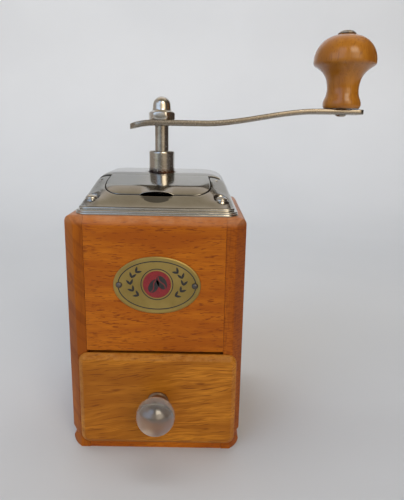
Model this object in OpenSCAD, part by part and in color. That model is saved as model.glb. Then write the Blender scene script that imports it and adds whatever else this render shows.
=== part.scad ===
// Hand-cranked box mill: wooden box with drawer, pressed-steel cover with
// filling flap, spindle with S-curved crank, conical burrs.
// Millimetres. Origin: centre of the base on the spindle axis.
// +Z up, -Y is the drawer side, the crank points along +X at rest.

/* [Wooden box] */
// Width and depth of the box
body_w = 95; // [94:0.5:97]
// Height of the box without the cover
body_h = 133; // [132:0.5:134]
// Thickness of side boards, front and back panel
board_t = 10.5; // [10:0.1:10.8]
// Chamfer on the upright outer edges
edge_c = 5.5; // [3:0.5:6]
// Round-over on the top edges of front and back
top_r = 5.5; // [3:0.5:6]
// Round-over on the top edges of the sides
side_r = 4; // [3:0.5:6]
// Height of the lower edge of the front panel
bay_top = 60.2; // [60:0.1:61]

/* [Cover and flap] */
// Width of the cover's rim
rim_w = 86.4; // [84:0.1:87]
// Sheet thickness of cover and flap
sheet_t = 1.1; // [0.9:0.1:1.2]
// Half width of the filling flap
lid_hw = 28.4; // [28:0.1:28.6]
// Gap around the flap
lid_gap = 0.7; // [0.5:0.1:0.8]

/* [Crank] */
// Distance from the spindle to the knob's pin
crank_reach = 103; // [98:1:110]
// Width of the crank arm
arm_w = 15; // [13:0.5:16]
// Thickness of the crank arm at the hub
arm_t = 3.3; // [2.8:0.1:3.6]
// Largest radius of the wooden knob
knob_r = 17.4; // [16:0.2:18]
// Diameter of the spindle
spindle_d = 8; // [7.8:0.1:8]

/* [Drawer] */
// Width of the drawer's lipped front
front_w = 86; // [84:0.5:86.5]
// Height of the drawer's lipped front
front_h = 54.4; // [53.5:0.1:54.6]
// Sideways offset of the drawer front
front_dx = 1.5; // [-1.5:0.1:1.5]
// Diameter of the clear ball pull
pull_d = 20; // [18:0.5:21]

/* [Hidden] */
$fn = 48;
e = 0.01;
hw = body_w / 2;
in_w = hw - board_t;          // inner half width of the box
zc = body_h;                  // underside of the cover's rim
plate_z = zc + 19.4;          // top of the cover's flat
hinge_y = -16.2;              // flap hinge axis
hinge_z = zc + 14.2;
lid_rear = -12.6;             // rear edge of the flap
mouth_rear = -11.7;           // rear edge of the opening
screw_x = 34.3;               // cover screws, from the spindle axis
screw_y = 34;
seat_z = zc + 7.7;            // spot faces under the cover screws
div_z = 64;                   // underside of the divider board
div_t = 8;
arm_z = zc + 47.3;            // middle of the crank arm at the hub
arm_rise = 7.8;               // rise of the arm's S to the knob end
arm_end = crank_reach + 11.7;
knob_z = zc + 56.9;           // underside of the knob
knob_h = 39.6;
pull_z = 31;
pull_x = front_dx + 0.3;
lip_y = -hw - 3;              // face of the drawer front
spring_z0 = 117.4;
spring_z1 = zc + 15.7;

wood = [0.66, 0.38, 0.13];
wood_dark = [0.52, 0.27, 0.11];
nickel = [0.62, 0.60, 0.56];
steel = [0.45, 0.44, 0.43];
brass = [0.70, 0.55, 0.22];

function arc(cx, cy, r, a0, a1, n) =
    [for (i = [0:n]) let (a = a0 + (a1 - a0) * i / n) [cx + r * cos(a), cy + r * sin(a)]];
function rr(w, d, r, n = 5) = concat(
    arc(w / 2 - r, d / 2 - r, r, 0, 90, n), arc(-w / 2 + r, d / 2 - r, r, 90, 180, n),
    arc(-w / 2 + r, -d / 2 + r, r, 180, 270, n), arc(w / 2 - r, -d / 2 + r, r, 270, 360, n));
function smooth(t) = let (u = min(1, max(0, t))) u * u * (3 - 2 * u);
module along_y(len) rotate([90, 0, 0]) translate([0, 0, -len / 2]) linear_extrude(len) children();
module along_x(len) rotate([90, 0, 90]) translate([0, 0, -len / 2]) linear_extrude(len) children();
module block(a, b) translate(a) cube(b - a);

// ---- wooden box -----------------------------------------------------------
// Outline of the box from the front: bead and notch at the foot, rounded top.
function box_side() = concat(
    arc(hw - 3.6, 3.4, 3.4, -90, 90, 8), [[hw, 10.6]],
    arc(hw - side_r, body_h - side_r, side_r, 0, 90, 5));
function flip(p) = [for (i = [len(p) - 1:-1:0]) [-p[i][0], p[i][1]]];
module box_outline() polygon(concat(box_side(), flip(box_side())));
function depth_side() = concat([[hw, 0]], arc(hw - top_r, body_h - top_r, top_r, 0, 90, 5));
module depth_outline() polygon(concat(depth_side(), flip(depth_side())));
module box_plan() polygon([[hw - edge_c, -hw], [hw, -hw + edge_c], [hw, hw - edge_c],
    [hw - edge_c, hw], [-hw + edge_c, hw], [-hw, hw - edge_c], [-hw, -hw + edge_c],
    [-hw + edge_c, -hw]]);
module box_solid() intersection() {
    linear_extrude(body_h) box_plan();
    along_y(body_w) box_outline();
    along_x(body_w) depth_outline();
}
module side_board(s) color(wood_dark) intersection() {
    box_solid();
    block([s > 0 ? in_w : -hw - 1, -hw - 1, -1], [s > 0 ? hw + 1 : -in_w, hw + 1, body_h + 1]);
}
module left_side_board() side_board(-1);
module right_side_board() side_board(1);
nail_x = 19.9;
badge_x = 1.2;
badge_z = 97;
nail_z = 97;
module front_panel() color(wood) difference() {
    intersection() {
        box_solid();
        block([-in_w, -hw - 1, bay_top], [in_w, -in_w, body_h + 1]);
    }
    for (s = [-1, 1]) translate([badge_x + s * nail_x, -hw - 1, nail_z])
        rotate([-90, 0, 0]) cylinder(d = 1.7, h = 9.5);
}
module back_panel() color(wood) intersection() {
    box_solid();
    block([-in_w, in_w, 0], [in_w, hw + 1, body_h + 1]);
}
module bottom_board() color(wood) block([-in_w, -hw, 0], [in_w, in_w, 4]);
module divider_board() color(wood) difference() {
    block([-in_w, -in_w, div_z], [in_w, in_w, div_z + div_t]);
    translate([0, 0, div_z - 1]) cylinder(d = 40, h = div_t + 2);
    for (a = [30, 150, 270]) rotate(a) translate([24.5, 0, div_z + 1]) cylinder(d = 3.1, h = div_t);
    for (s = [-1, 1]) translate([s * 28.5, 0, div_z - 1]) cylinder(d = 3.1, h = div_t - 1);
}
block_top = zc - 2.8;
module corner_blocks() color(wood) for (sx = [-1, 1], sy = [-1, 1]) difference() {
    translate([sx > 0 ? 28 : -in_w, sy > 0 ? 28 : -in_w, block_top - 26])
        cube([in_w - 28, in_w - 28, 26]);
    translate([sx * screw_x, sy * screw_y, block_top - 18]) cylinder(d = 3.1, h = 20);
}

// ---- cover ----------------------------------------------------------------
// Half profile of the steep flanks (from the axis outwards) and the front slope.
function flank(t) = let (k = (41.4 - t) / 41.4) [for (p = [[24, 19.4], [29, 19.1], [32, 18.3],
    [34.2, 17.1], [36, 15.3], [37.6, 12.7], [39.2, 9.1], [40.6, 5.3], [41.2, 3.8], [41.4, 2.6]])
    [p[0] * k, zc + p[1] - t]];
function slope(t) = let (k = (41.4 - t) / 41.4) [for (p = [[7.5, 19.4], [27.2, 14.12], [28.4, 13.6],
    [40.4, 4.6], [41.2, 3.8], [41.4, 2.6]])
    [-p[0] * k, zc + p[1] - t * 1.12]];
function corner(t) = [for (p = [[27, 19.4], [33, 17.4], [39, 13.8], [44, 10.2], [48.3, 8],
    [52.5, 6.2], [55.5, 4.4], [57, 2.6]]) [p[0] - t * 0.7, zc + p[1] - t]];
// the rear corners are fuller above their screws
function rear_corner(t) = [for (p = [[35, 19.4], [40, 18.2], [43.5, 15.5], [45.5, 12.4], [47, 9.8], [48.6, 8],
    [52.5, 6.2], [55.5, 4.4], [57, 2.6]]) [p[0] - t * 0.8, zc + p[1] - t]];
function rev(p) = [for (i = [len(p) - 1:-1:0]) p[i]];
module dome(t) intersection() {
    along_y(90) polygon(concat(flank(t), flip(flank(t))));
    along_x(90) polygon(concat(flank(t), rev(slope(t))));
    rotate(45) along_y(140) polygon(concat(rear_corner(t), flip(corner(t))));
    rotate(-45) along_y(140) polygon(concat(corner(t), flip(rear_corner(t))));
}
module lid_plan(g, rear) polygon(concat(
    arc(-lid_hw + 8.6, -25.4, 8.6 + g, 180, 270, 6), arc(lid_hw - 8.6, -25.4, 8.6 + g, 270, 360, 6),
    [[lid_hw - 0.7 + g, -17], [lid_hw - 1.3 + g, rear], [-lid_hw + 1.3 - g, rear], [-lid_hw + 0.7 - g, -17]]));
// finger dimple in front of the flap: an oval recess with a flat, steeper floor
module dimple() intersection() {
    translate([0, -34.6, zc]) scale([1, 0.53, 1]) cylinder(r = 7.2, h = 20);
    translate([0, -34.6, zc + 8.6]) rotate([42, 0, 0]) translate([-10, -20, 0]) cube([20, 40, 20]);
}
module top_cover() color(nickel) difference() {
    union() {
        difference() {
            union() {
                translate([0, 0, zc]) linear_extrude(2.3) polygon(rr(rim_w, rim_w, 4));
                translate([0, 0, zc + 2.2]) linear_extrude(0.7) polygon(rr(82.2, 82.2, 3.5));
                dome(0);
            }
            translate([0, 0, zc - 1]) linear_extrude(3.9)
                polygon(rr(82.2 - 2 * sheet_t, 82.2 - 2 * sheet_t, 3));
            difference() {
                dome(sheet_t);
                // seats under the corner screws and below the finger dimple
                for (sx = [-1, 1], sy = [-1, 1]) translate([sx * screw_x, sy * screw_y, zc + 4.4])
                    cylinder(d = 10, h = 8);
                block([-9, -41, zc + 2.9], [9, -34.6, zc + 10]);
                // hinge lugs
                for (s = [-1, 1]) block([s > 0 ? 28.9 : -32.5, hinge_y - 2.1, hinge_z - 2.1],
                    [s > 0 ? 32.5 : -28.9, hinge_y + 2.1, zc + 19]);
            }
        }
    }
    translate([0, 0, zc + 6.5]) linear_extrude(20) lid_plan(lid_gap, mouth_rear);
    for (s = [-1, 1]) {
        block([s > 0 ? lid_hw - 2 : -33.8, mouth_rear - 1.5, zc + 16.2], [s > 0 ? 33.8 : 2 - lid_hw, mouth_rear, zc + 20]);
        translate([s > 0 ? 27.5 : -32.8, hinge_y, hinge_z]) rotate([0, 90, 0]) cylinder(d = 2.6, h = 5.3);
    }
    translate([0, 0, zc + 10]) cylinder(d = 11.1, h = 12);
    for (sx = [-1, 1], sy = [-1, 1]) translate([sx * screw_x, sy * screw_y, 0]) {
        translate([0, 0, zc + 2]) cylinder(d = 4, h = 8);
        translate([0, 0, seat_z]) cylinder(d = 7.8, h = 8);
    }
    dimple();
}
module cover_screws() color(nickel) for (sx = [-1, 1], sy = [-1, 1])
    translate([sx * screw_x, sy * screw_y, 0]) difference() {
        union() {
            translate([0, 0, seat_z]) rotate_extrude() polygon(concat([[0, 0], [3.3, 0], [3.3, 0.5]],
                [for (a = [15:15:75]) [3.3 * cos(a), 0.5 + 2.1 * sin(a)]], [[0, 2.6]]));
            translate([0, 0, block_top - 17]) cylinder(d = 3, h = seat_z - block_top + 17 + e);
        }
        translate([0, 0, seat_z + 2.6]) rotate(35 * sx * sy) cube([9, 0.9, 2], center = true);
    }
module lid_flap() color(nickel) union() {
    lid_shell();
    // finger tongue, bent up over the notch
    along_x(13.6) polygon([[-27.6, zc + 13.9], [-27.6, zc + 13], [-34, zc + 10.6], [-34, zc + 11.5]]);
}
module lid_shell() difference() {
    union() {
        intersection() {
            difference() { dome(0); dome(sheet_t); }
            translate([0, 0, zc + 5]) linear_extrude(20) lid_plan(0, lid_rear);
        }
        for (s = [-1, 1]) {
            intersection() {
                block([s > 0 ? 23 : -27, hinge_y - 1.5, hinge_z - 1.2],
                    [s > 0 ? 27 : -23, hinge_y + 1.5, zc + 19]);
                dome(0.3);
            }
            translate([s > 0 ? 23 : -32.1, hinge_y, hinge_z]) rotate([0, 90, 0])
                cylinder(d = 2.4, h = 9.1);
        }
    }
    translate([0, -46.8, zc + 5]) cylinder(r = 15.1, h = 10, $fn = 64);
}
module bearing_collar() color(nickel) difference() {
    union() {
        translate([0, 0, plate_z]) cylinder(d = 14, h = 11.4);
        translate([0, 0, plate_z + 11.4]) cylinder(d1 = 14, d2 = 12.6, h = 0.7);
        translate([0, 0, plate_z - 3.7]) cylinder(d = 11, h = 3.7 + e);
    }
    translate([0, 0, plate_z - 5]) cylinder(d = spindle_d + 0.1, h = 20);
}
module bearing_strap() color(steel) difference() {
    translate([0, 1, plate_z - 1.12 * sheet_t - 2.42]) linear_extrude(2.4) polygon(rr(46, 15, 3));
    translate([0, 0, plate_z - 6]) cylinder(d = 11.1, h = 8);
}

// ---- hopper, burrs and grind setting ---------------------------------------
module hopper_bowl() color(steel) difference() {
    union() {
        translate([0, 0, block_top]) linear_extrude(0.8) polygon(rr(2 * in_w - 0.4, 2 * in_w - 0.4, 1));
        rotate_extrude($fn = 64) polygon([[19, 88.4], [19.9, 88.4], [35.9, block_top + 0.4],
            [35.9, block_top + 0.8], [35, block_top + 0.8], [35, block_top]]);
    }
    translate([0, 0, block_top - 1]) cylinder(r = 35, h = 3, $fn = 64);
    for (sx = [-1, 1], sy = [-1, 1]) translate([sx * screw_x, sy * screw_y, block_top - 1])
        cylinder(d = 3.4, h = 4);
}
module outer_burr() color(steel) difference() {
    union() {
        translate([0, 0, 62]) cylinder(r = 19.7, h = 26);
        translate([0, 0, div_z + div_t]) cylinder(r = 28, h = 4);
        translate([0, 0, div_z + div_t]) cylinder(r = 21.2, h = 16);
    }
    rotate_extrude() polygon([[0, 61], [16.7, 61], [16.4, 62], [13.6, 70], [16.6, 88], [16.8, 89], [0, 89]]);
    for (i = [0:15]) rotate(i * 22.5) translate([14.2, 0, 79]) rotate([12, 9, 0])
        cube([3.4, 1.6, 22], center = true);
    for (a = [30, 150, 270]) rotate(a) translate([24.5, 0, 70]) cylinder(d = 3.4, h = 8);
}
module round_screw(d, len, hd, hh) {
    rotate_extrude() polygon(concat([[0, 0], [hd / 2, 0]],
        [for (a = [15:15:75]) [hd / 2 * cos(a), hh * sin(a)]], [[0, hh]]));
    translate([0, 0, -len]) cylinder(d = d, h = len + e);
}
module burr_screws() color(nickel) for (a = [30, 150, 270]) rotate(a)
    translate([24.5, 0, div_z + div_t + 4]) difference() {
        round_screw(3, 9.8, 6, 1.8);
        translate([0, 0, 1.8]) cube([8, 0.8, 1.2], center = true);
    }
module lower_bridge() color(steel) difference() {
    union() {
        block([-24.4, -7, 52], [24.4, 7, 54.4]);
        for (s = [-1, 1]) {
            block([s > 0 ? 22 : -24.4, -7, 52], [s > 0 ? 24.4 : -22, 7, div_z]);
            block([s > 0 ? 22 : -33, -7, div_z - 2.4], [s > 0 ? 33 : -22, 7, div_z]);
        }
    }
    translate([0, 0, 50]) cylinder(d = 8.1, h = 8);
    for (s = [-1, 1]) translate([s * 28.5, 0, div_z - 4]) cylinder(d = 3.4, h = 6);
}
module bridge_screws() color(nickel) for (s = [-1, 1]) translate([s * 28.5, 0, div_z - 2.4])
    rotate([180, 0, 0]) difference() {
        round_screw(3, 7.2, 6, 1.8);
        translate([0, 0, 1.8]) cube([8, 0.8, 1.2], center = true);
    }
module adjuster_screw() color(brass) difference() {
    union() {
        translate([0, 0, 48.9]) cylinder(d = 8, h = 9.1);
        translate([0, 0, 46]) cylinder(d = 18, h = 3);
    }
    translate([0, 0, 55.97]) cylinder(d = 6.1, h = 3);
    for (i = [0:15]) rotate(i * 22.5) translate([9.5, 0, 45]) cylinder(d = 2, h = 5, $fn = 24);
}
module thrust_ball() color(nickel) translate([0, 0, 59]) sphere(d = 6);
module spindle() color(nickel) difference() {
    union() {
        translate([0, 0, 60]) cylinder(d = spindle_d, h = arm_z - arm_t / 2 - 60);
        translate([-2.9, -2.9, arm_z - arm_t / 2 - e]) cube([5.8, 5.8, arm_t + e]);
        translate([0, 0, arm_z + arm_t / 2 - 0.3]) cylinder(d = 6, h = 9);
    }
    translate([0, 0, 59]) cylinder(d = 6.1, h = 3.03);
    translate([-10, 0, 87]) rotate([0, 90, 0]) cylinder(d = 3.1, h = 20);
    translate([0, 0, 115]) difference() { cylinder(d = 12, h = 1.2); translate([0, 0, -1]) cylinder(d = 6.9, h = 4); }
}
module inner_burr() color(steel) difference() {
    rotate_extrude() polygon([[4.05, 62.6], [14.4, 62.6], [14.9, 63.4], [11.9, 71], [8.6, 83], [8.2, 90], [4.05, 90]]);
    for (i = [0:9]) rotate(i * 36) translate([12.2, 0, 74]) rotate([-16, -17, 0])
        cube([2.6, 2.2, 22], center = true);
    translate([-10, 0, 87]) rotate([0, 90, 0]) cylinder(d = 3.1, h = 20);
}
module burr_pin() color(nickel) translate([-8, 0, 87]) rotate([0, 90, 0]) cylinder(d = 3, h = 16);
module spring_seat() color(nickel) difference() {
    translate([0, 0, 116.2]) cylinder(d = 16, h = 1.2);
    translate([0, 0, 115]) cylinder(d = 8.1, h = 4);
}
module retaining_clip() color(steel) difference() {
    translate([0, 0, 115.05]) cylinder(d = 12, h = 1.1);
    translate([0, 0, 114]) cylinder(d = 7, h = 4);
    translate([0, -5, 115]) cube([5, 10, 6], center = true);
}
// Coil of round wire with closed ends, one swept tube.
turns = 8;
per = 14;
wire = 1.5;
function coil_z(i) = let (n = turns * per, lo = spring_z0 + wire / 2 + 0.05, hi = spring_z1 - wire / 2 - 0.05,
    u = i / n, q = 1 / turns) lo + (hi - lo) * (u < q ? 0.4 * u * u / q * 2.5 * 0.5 :
    u > 1 - q ? 1 - 0.4 * (1 - u) * (1 - u) / q * 2.5 * 0.5 : 0.5 * q + (u - q) * (1 - q) / (1 - 2 * q));
function coil(i) = let (a = 360 * i / per) [6 * cos(a), 6 * sin(a), coil_z(i)];
module thrust_spring() color(steel) {
    n = turns * per;
    pts = [for (i = [0:n], k = [0:7]) let (a = 360 * i / per, b = 45 * k, r = 6 + wire / 2 * cos(b))
        [r * cos(a), r * sin(a), coil_z(i) + wire / 2 * sin(b)]];
    faces = concat([[for (k = [0:7]) k]],
        [for (i = [0:n - 1], k = [0:7]) [i * 8 + k, (i + 1) * 8 + k, (i + 1) * 8 + (k + 1) % 8, i * 8 + (k + 1) % 8]],
        [[for (k = [7:-1:0]) n * 8 + k]]);
    polyhedron(pts, faces, convexity = 10);
}

// ---- crank ------------------------------------------------------------------
// Middle line of the arm: level at the hub, an S up to the knob end, drooping tail.
function arm_mid(x) = arm_z + arm_rise * smooth((x - 24) / (crank_reach - 37))
    - (x < -3 ? 2.5 * pow((-x - 3) / 15.5, 2) : 0);
function arm_half(x) = (arm_t - 0.5 * max(0, x) / arm_end) / 2;
arm_x = [for (x = [-18.5:2.5:arm_end - 1]) x];
module crank_arm() color(nickel) difference() {
    intersection() {
        along_y(arm_w + 2) polygon(concat(
            [for (x = concat(arm_x, [arm_end])) [x, arm_mid(x) + arm_half(x)]],
            [for (x = rev(concat(arm_x, [arm_end]))) [x, arm_mid(x) - arm_half(x)]]));
        translate([0, 0, arm_z - 12]) linear_extrude(40) polygon(concat(
            arc(-18.5 + arm_w / 2, 0, arm_w / 2, 90, 270, 10),
            arc(arm_end - 3, -arm_w / 2 + 3.5, 3, 270, 360, 4),
            arc(arm_end - 3, arm_w / 2 - 3.5, 3, 0, 90, 4)));
    }
    translate([0, 0, arm_z]) cube([5.8, 5.8, 20], center = true);
    translate([crank_reach, 0, arm_z - 5]) cylinder(d = 5.1, h = 30);
}
module cap_nut() color(nickel) difference() {
    translate([0, 0, arm_z + arm_t / 2]) union() {
        rotate(8) intersection() {
            cylinder(d = 15.4, h = 4.8, $fn = 6);
            rotate_extrude() polygon([[0, 0], [7.1, 0], [7.7, 0.5], [7.7, 4.2], [6.9, 4.8], [0, 4.8]]);
        }
        translate([0, 0, 4.8 - e]) rotate_extrude() polygon(concat([[0, 0], [5.4, 0], [5, 0.8], [4.95, 4.4]],
            [for (a = [15:15:75]) [4.95 * cos(a), 4.4 + 3.8 * sin(a)]], [[0, 8.2]]));
    }
    translate([0, 0, arm_z]) cylinder(d = 6.1, h = arm_t / 2 + 9);
}
pin_top = knob_z + knob_h + 0.35;
module knob_pin() color(nickel) translate([crank_reach, 0, 0]) union() {
    translate([0, 0, arm_mid(crank_reach)]) cylinder(d = 5, h = pin_top - arm_mid(crank_reach) + 0.2);
    translate([0, 0, arm_mid(crank_reach) + arm_half(crank_reach) + 0.02])
        cylinder(d = 6, h = pin_top - arm_mid(crank_reach) - arm_half(crank_reach) + 0.08);
    translate([0, 0, arm_mid(crank_reach) - 2.6]) cylinder(d1 = 4.6, d2 = 6.4, h = 2.6 - arm_half(crank_reach));
    translate([0, 0, arm_mid(crank_reach) - 2]) cylinder(d = 5, h = 3);
    translate([0, 0, pin_top]) rotate_extrude() polygon([[0, 0], [5, 0], [5, 0.5], [4.4, 0.7], [4.1, 1.2],
        [3.2, 1.7], [1.8, 2], [0, 2.1]]);
}
module crank_knob() color([0.62, 0.36, 0.12]) translate([crank_reach, 0, knob_z]) difference() {
    rotate_extrude() polygon(concat(
        [[0, 0], [9.6, 0], [10.3, 0.6], [10.7, 2.4], [10.3, 4.6], [9.3, 7], [8.85, 9.4], [8.8, 11],
            [9.1, 13.2], [9.6, 15.8], [10.9, 18.4], [13.6, 21.3], [knob_r - 0.9, 23.2], [knob_r - 0.1, 24.2]],
        [for (a = [5:8.5:75]) [4.6 + (knob_r - 4.6) * cos(a), 25.4 + (knob_h - 25.8) * sin(a)]],
        [[5.2, knob_h], [0, knob_h]]));
    translate([0, 0, -1]) cylinder(d = 6.1, h = knob_h + 2);
}

// ---- drawer -------------------------------------------------------------------
module lip(inset, y0, y1) translate([front_dx, y1, 3.9 + front_h / 2]) rotate([90, 0, 0])
    linear_extrude(y1 - y0) polygon(rr(front_w - 2 * inset, front_h - 2 * inset, 5 - inset * 0.9));
module drawer_front() color(wood) difference() {
    union() {
        lip(0, -hw - 0.7, -hw - 0.2);
        hull() { lip(0, -hw - 0.72, -hw - 0.7); lip(2.7, lip_y, lip_y + 0.02); }
        block([-in_w + 0.6, -hw - 0.3, 4.8], [in_w - 0.6, -38.5, 57]);
    }
    translate([pull_x, lip_y - 1, pull_z]) rotate([-90, 0, 0]) cylinder(d = 4.4, h = 14);
}
module drawer_side(s) color(wood)
    block([s > 0 ? in_w - 5.8 : -in_w + 0.8, -38.5, 4.6], [s > 0 ? in_w - 0.8 : -in_w + 5.8, 30, 44]);
module drawer_left_side() drawer_side(-1);
module drawer_right_side() drawer_side(1);
module drawer_back() color(wood) block([-in_w + 5.8, 25, 4.6], [in_w - 5.8, 30, 44]);
module drawer_bottom() color(wood_dark) block([-in_w + 5.8, -38.5, 4.6], [in_w - 5.8, 25, 7.6]);
pull_r = pull_d / 2;
pull_c = 16;                  // distance of the ball's middle from the drawer front
module drawer_knob() color([0.80, 0.78, 0.75, 0.5]) translate([pull_x, lip_y, pull_z]) rotate([90, 0, 0])
    difference() {
        rotate_extrude($fn = 64) polygon(concat([[0, 0], [6, 0], [6, 1.4], [5.2, 2.6], [4.7, 4], [4.9, 5.6]],
            [for (a = [-54:9:81]) [pull_r * cos(a), pull_c + pull_r * sin(a)]], [[0, pull_c + pull_r]]));
        translate([0, 0, -1]) cylinder(d = 4.1, h = 14);
    }
module drawer_knob_screw() color(steel) translate([pull_x, -38.5, pull_z]) rotate([-90, 0, 0]) difference() {
    union() {
        rotate_extrude() polygon([[0, 0], [4, 0], [3.6, 1.2], [2.4, 2.1], [0, 2.4]]);
        translate([0, 0, -24]) cylinder(d = 4, h = 24 + e);
    }
    translate([0, 0, 2.4]) cube([10, 1, 1.6], center = true);
}

// ---- plaque --------------------------------------------------------------------
module nameplate() color(brass) difference() {
    translate([badge_x, -hw, badge_z]) rotate([90, 0, 0]) linear_extrude(0.8)
        polygon([for (i = [0:47]) let (a = i * 7.5) [23 * cos(a), 15.6 * sin(a)]]);
    for (s = [-1, 1]) translate([badge_x + s * nail_x, -hw - 2, nail_z])
        rotate([-90, 0, 0]) cylinder(d = 1.7, h = 4);
}
module nameplate_nails() color(steel) for (s = [-1, 1])
    translate([badge_x + s * nail_x, -hw - 0.8, nail_z]) rotate([90, 0, 0]) {
        rotate_extrude() polygon(concat([[0, 0], [1.7, 0]],
            [for (a = [20:20:60]) [1.7 * cos(a), 0.9 * sin(a)]], [[0, 0.9]]));
        translate([0, 0, -8.5]) cylinder(d = 1.5, h = 8.5 + e);
    }

left_side_board();
right_side_board();
front_panel();
back_panel();
bottom_board();
divider_board();
corner_blocks();
top_cover();
cover_screws();
lid_flap();
bearing_collar();
bearing_strap();
hopper_bowl();
outer_burr();
burr_screws();
lower_bridge();
bridge_screws();
adjuster_screw();
thrust_ball();
spindle();
inner_burr();
burr_pin();
spring_seat();
retaining_clip();
thrust_spring();
crank_arm();
cap_nut();
knob_pin();
crank_knob();
drawer_front();
drawer_left_side();
drawer_right_side();
drawer_back();
drawer_bottom();
drawer_knob();
drawer_knob_screw();
nameplate();
nameplate_nails();
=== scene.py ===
"""Looks of the hand-cranked box mill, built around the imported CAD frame."""
import math

import bpy
import bmesh
import numpy as np
from mathutils import Matrix, Vector, noise
from mathutils.geometry import delaunay_2d_cdt

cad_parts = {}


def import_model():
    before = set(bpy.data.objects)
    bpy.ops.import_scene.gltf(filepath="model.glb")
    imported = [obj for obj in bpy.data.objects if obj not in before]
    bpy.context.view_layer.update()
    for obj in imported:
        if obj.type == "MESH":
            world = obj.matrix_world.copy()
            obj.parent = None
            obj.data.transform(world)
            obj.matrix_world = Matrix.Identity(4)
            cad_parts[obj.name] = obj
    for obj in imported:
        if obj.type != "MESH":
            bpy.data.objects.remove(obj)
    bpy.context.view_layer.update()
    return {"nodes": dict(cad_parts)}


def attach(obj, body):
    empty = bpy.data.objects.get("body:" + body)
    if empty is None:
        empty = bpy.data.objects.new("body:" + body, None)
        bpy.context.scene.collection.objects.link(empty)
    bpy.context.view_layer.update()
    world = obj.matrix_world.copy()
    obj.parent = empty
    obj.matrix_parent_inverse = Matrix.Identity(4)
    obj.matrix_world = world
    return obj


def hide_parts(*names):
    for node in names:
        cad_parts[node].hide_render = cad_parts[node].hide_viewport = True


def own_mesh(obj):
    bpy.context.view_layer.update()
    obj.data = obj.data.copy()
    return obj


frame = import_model()
NODE = frame["nodes"]
MM = 0.001

# main sizes in millimetres, the same as the CAD source
HW, INW, H = 47.5, 37.0, 133.0
CH, TOP_R, SIDE_R = 5.5, 5.5, 4.0
ZC = 133.0
PLATE = ZC + 19.4
HINGE_Y, HINGE_Z = -16.2, ZC + 14.2
LID_HW, LID_REAR, MOUTH_REAR, GAP = 28.4, -12.6, -11.7, 0.55
LIP_Y, LIP_X, LIP_Z = -50.5, 1.5, 31.1
PULL_X, PULL_Z = 1.8, 31.0
BADGE_X, BADGE_Z = 1.2, 97.0
ARM_Z, ARM_END, REACH = ZC + 47.3, 114.7, 103.0
KNOB_Z = ZC + 56.9


# ---------------------------------------------------------------- mesh helpers
def build(name, parts, mat, body, nodes=(), angle=38.0):
    """One piece from lists of (verts in mm, faces); rides on body and stands for the CAD nodes."""
    bm = bmesh.new()
    for verts, faces in parts:
        vs = [bm.verts.new((v[0] * MM, v[1] * MM, v[2] * MM)) for v in verts]
        for f in faces:
            try:
                bm.faces.new([vs[i] for i in f])
            except ValueError:
                pass
    bmesh.ops.remove_doubles(bm, verts=bm.verts, dist=2e-6)
    bmesh.ops.dissolve_degenerate(bm, edges=bm.edges, dist=1e-7)
    loose = [v for v in bm.verts if not v.link_faces]
    bmesh.ops.delete(bm, geom=loose, context="VERTS")
    bmesh.ops.recalc_face_normals(bm, faces=bm.faces)
    for f in bm.faces:
        f.smooth = True
    lim = math.radians(angle)
    for e in bm.edges:
        e.smooth = len(e.link_faces) == 2 and e.calc_face_angle(0.0) < lim
    me = bpy.data.meshes.new(name)
    bm.to_mesh(me)
    bm.free()
    ob = bpy.data.objects.new(name, me)
    bpy.context.scene.collection.objects.link(ob)
    me.materials.append(mat)
    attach(ob, body)
    if nodes:
        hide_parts(*nodes)
    return ob


def loft(rings, cap0=True, cap1=True, closed=False):
    n = len(rings[0])
    verts = [p for r in rings for p in r]
    faces = []
    m = len(rings)
    for i in range(m if closed else m - 1):
        j = (i + 1) % m
        for k in range(n):
            q = (k + 1) % n
            faces.append((i * n + k, i * n + q, j * n + q, j * n + k))
    if not closed and cap0:
        faces.append(tuple(range(n - 1, -1, -1)))
    if not closed and cap1:
        faces.append(tuple((m - 1) * n + k for k in range(n)))
    return verts, faces


def lathe(profile, n=72, at=(0.0, 0.0, 0.0), axis="Z", closed=False, twist=None):
    """Turned shape: profile of (radius, height); heights run along +Z or along -Y."""
    rings = []
    for r, h in profile:
        ring = []
        for k in range(n):
            a = 2 * math.pi * k / n
            x, y = r * math.cos(a), r * math.sin(a)
            p = (x, y, h) if axis == "Z" else (x, -h, y)
            ring.append((p[0] + at[0], p[1] + at[1], p[2] + at[2]))
        rings.append(ring)
    return loft(rings, profile[0][0] > 1e-6, profile[-1][0] > 1e-6, closed)


def arc(cx, cy, r, a0, a1, n):
    return [(cx + r * math.cos(math.radians(a0 + (a1 - a0) * i / n)),
             cy + r * math.sin(math.radians(a0 + (a1 - a0) * i / n))) for i in range(n + 1)]


def rrect(w, h, r, n=6, at=(0.0, 0.0)):
    x, y = w / 2 - r, h / 2 - r
    cx, cy = at
    return (arc(cx + x, cy + y, r, 0, 90, n) + arc(cx - x, cy + y, r, 90, 180, n)
            + arc(cx - x, cy - y, r, 180, 270, n) + arc(cx + x, cy - y, r, 270, 360, n))


def ellipse(a, b, n=96, at=(0.0, 0.0)):
    return [(at[0] + a * math.cos(2 * math.pi * i / n), at[1] + b * math.sin(2 * math.pi * i / n)) for i in range(n)]


def subdivided(loop, step):
    out = []
    for i, p in enumerate(loop):
        q = loop[(i + 1) % len(loop)]
        d = math.dist(p, q)
        if d < 1e-6:
            continue
        n = max(1, math.ceil(d / step - 1e-6))
        out += [(p[0] + (q[0] - p[0]) * k / n, p[1] + (q[1] - p[1]) * k / n) for k in range(n)]
    return out


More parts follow.
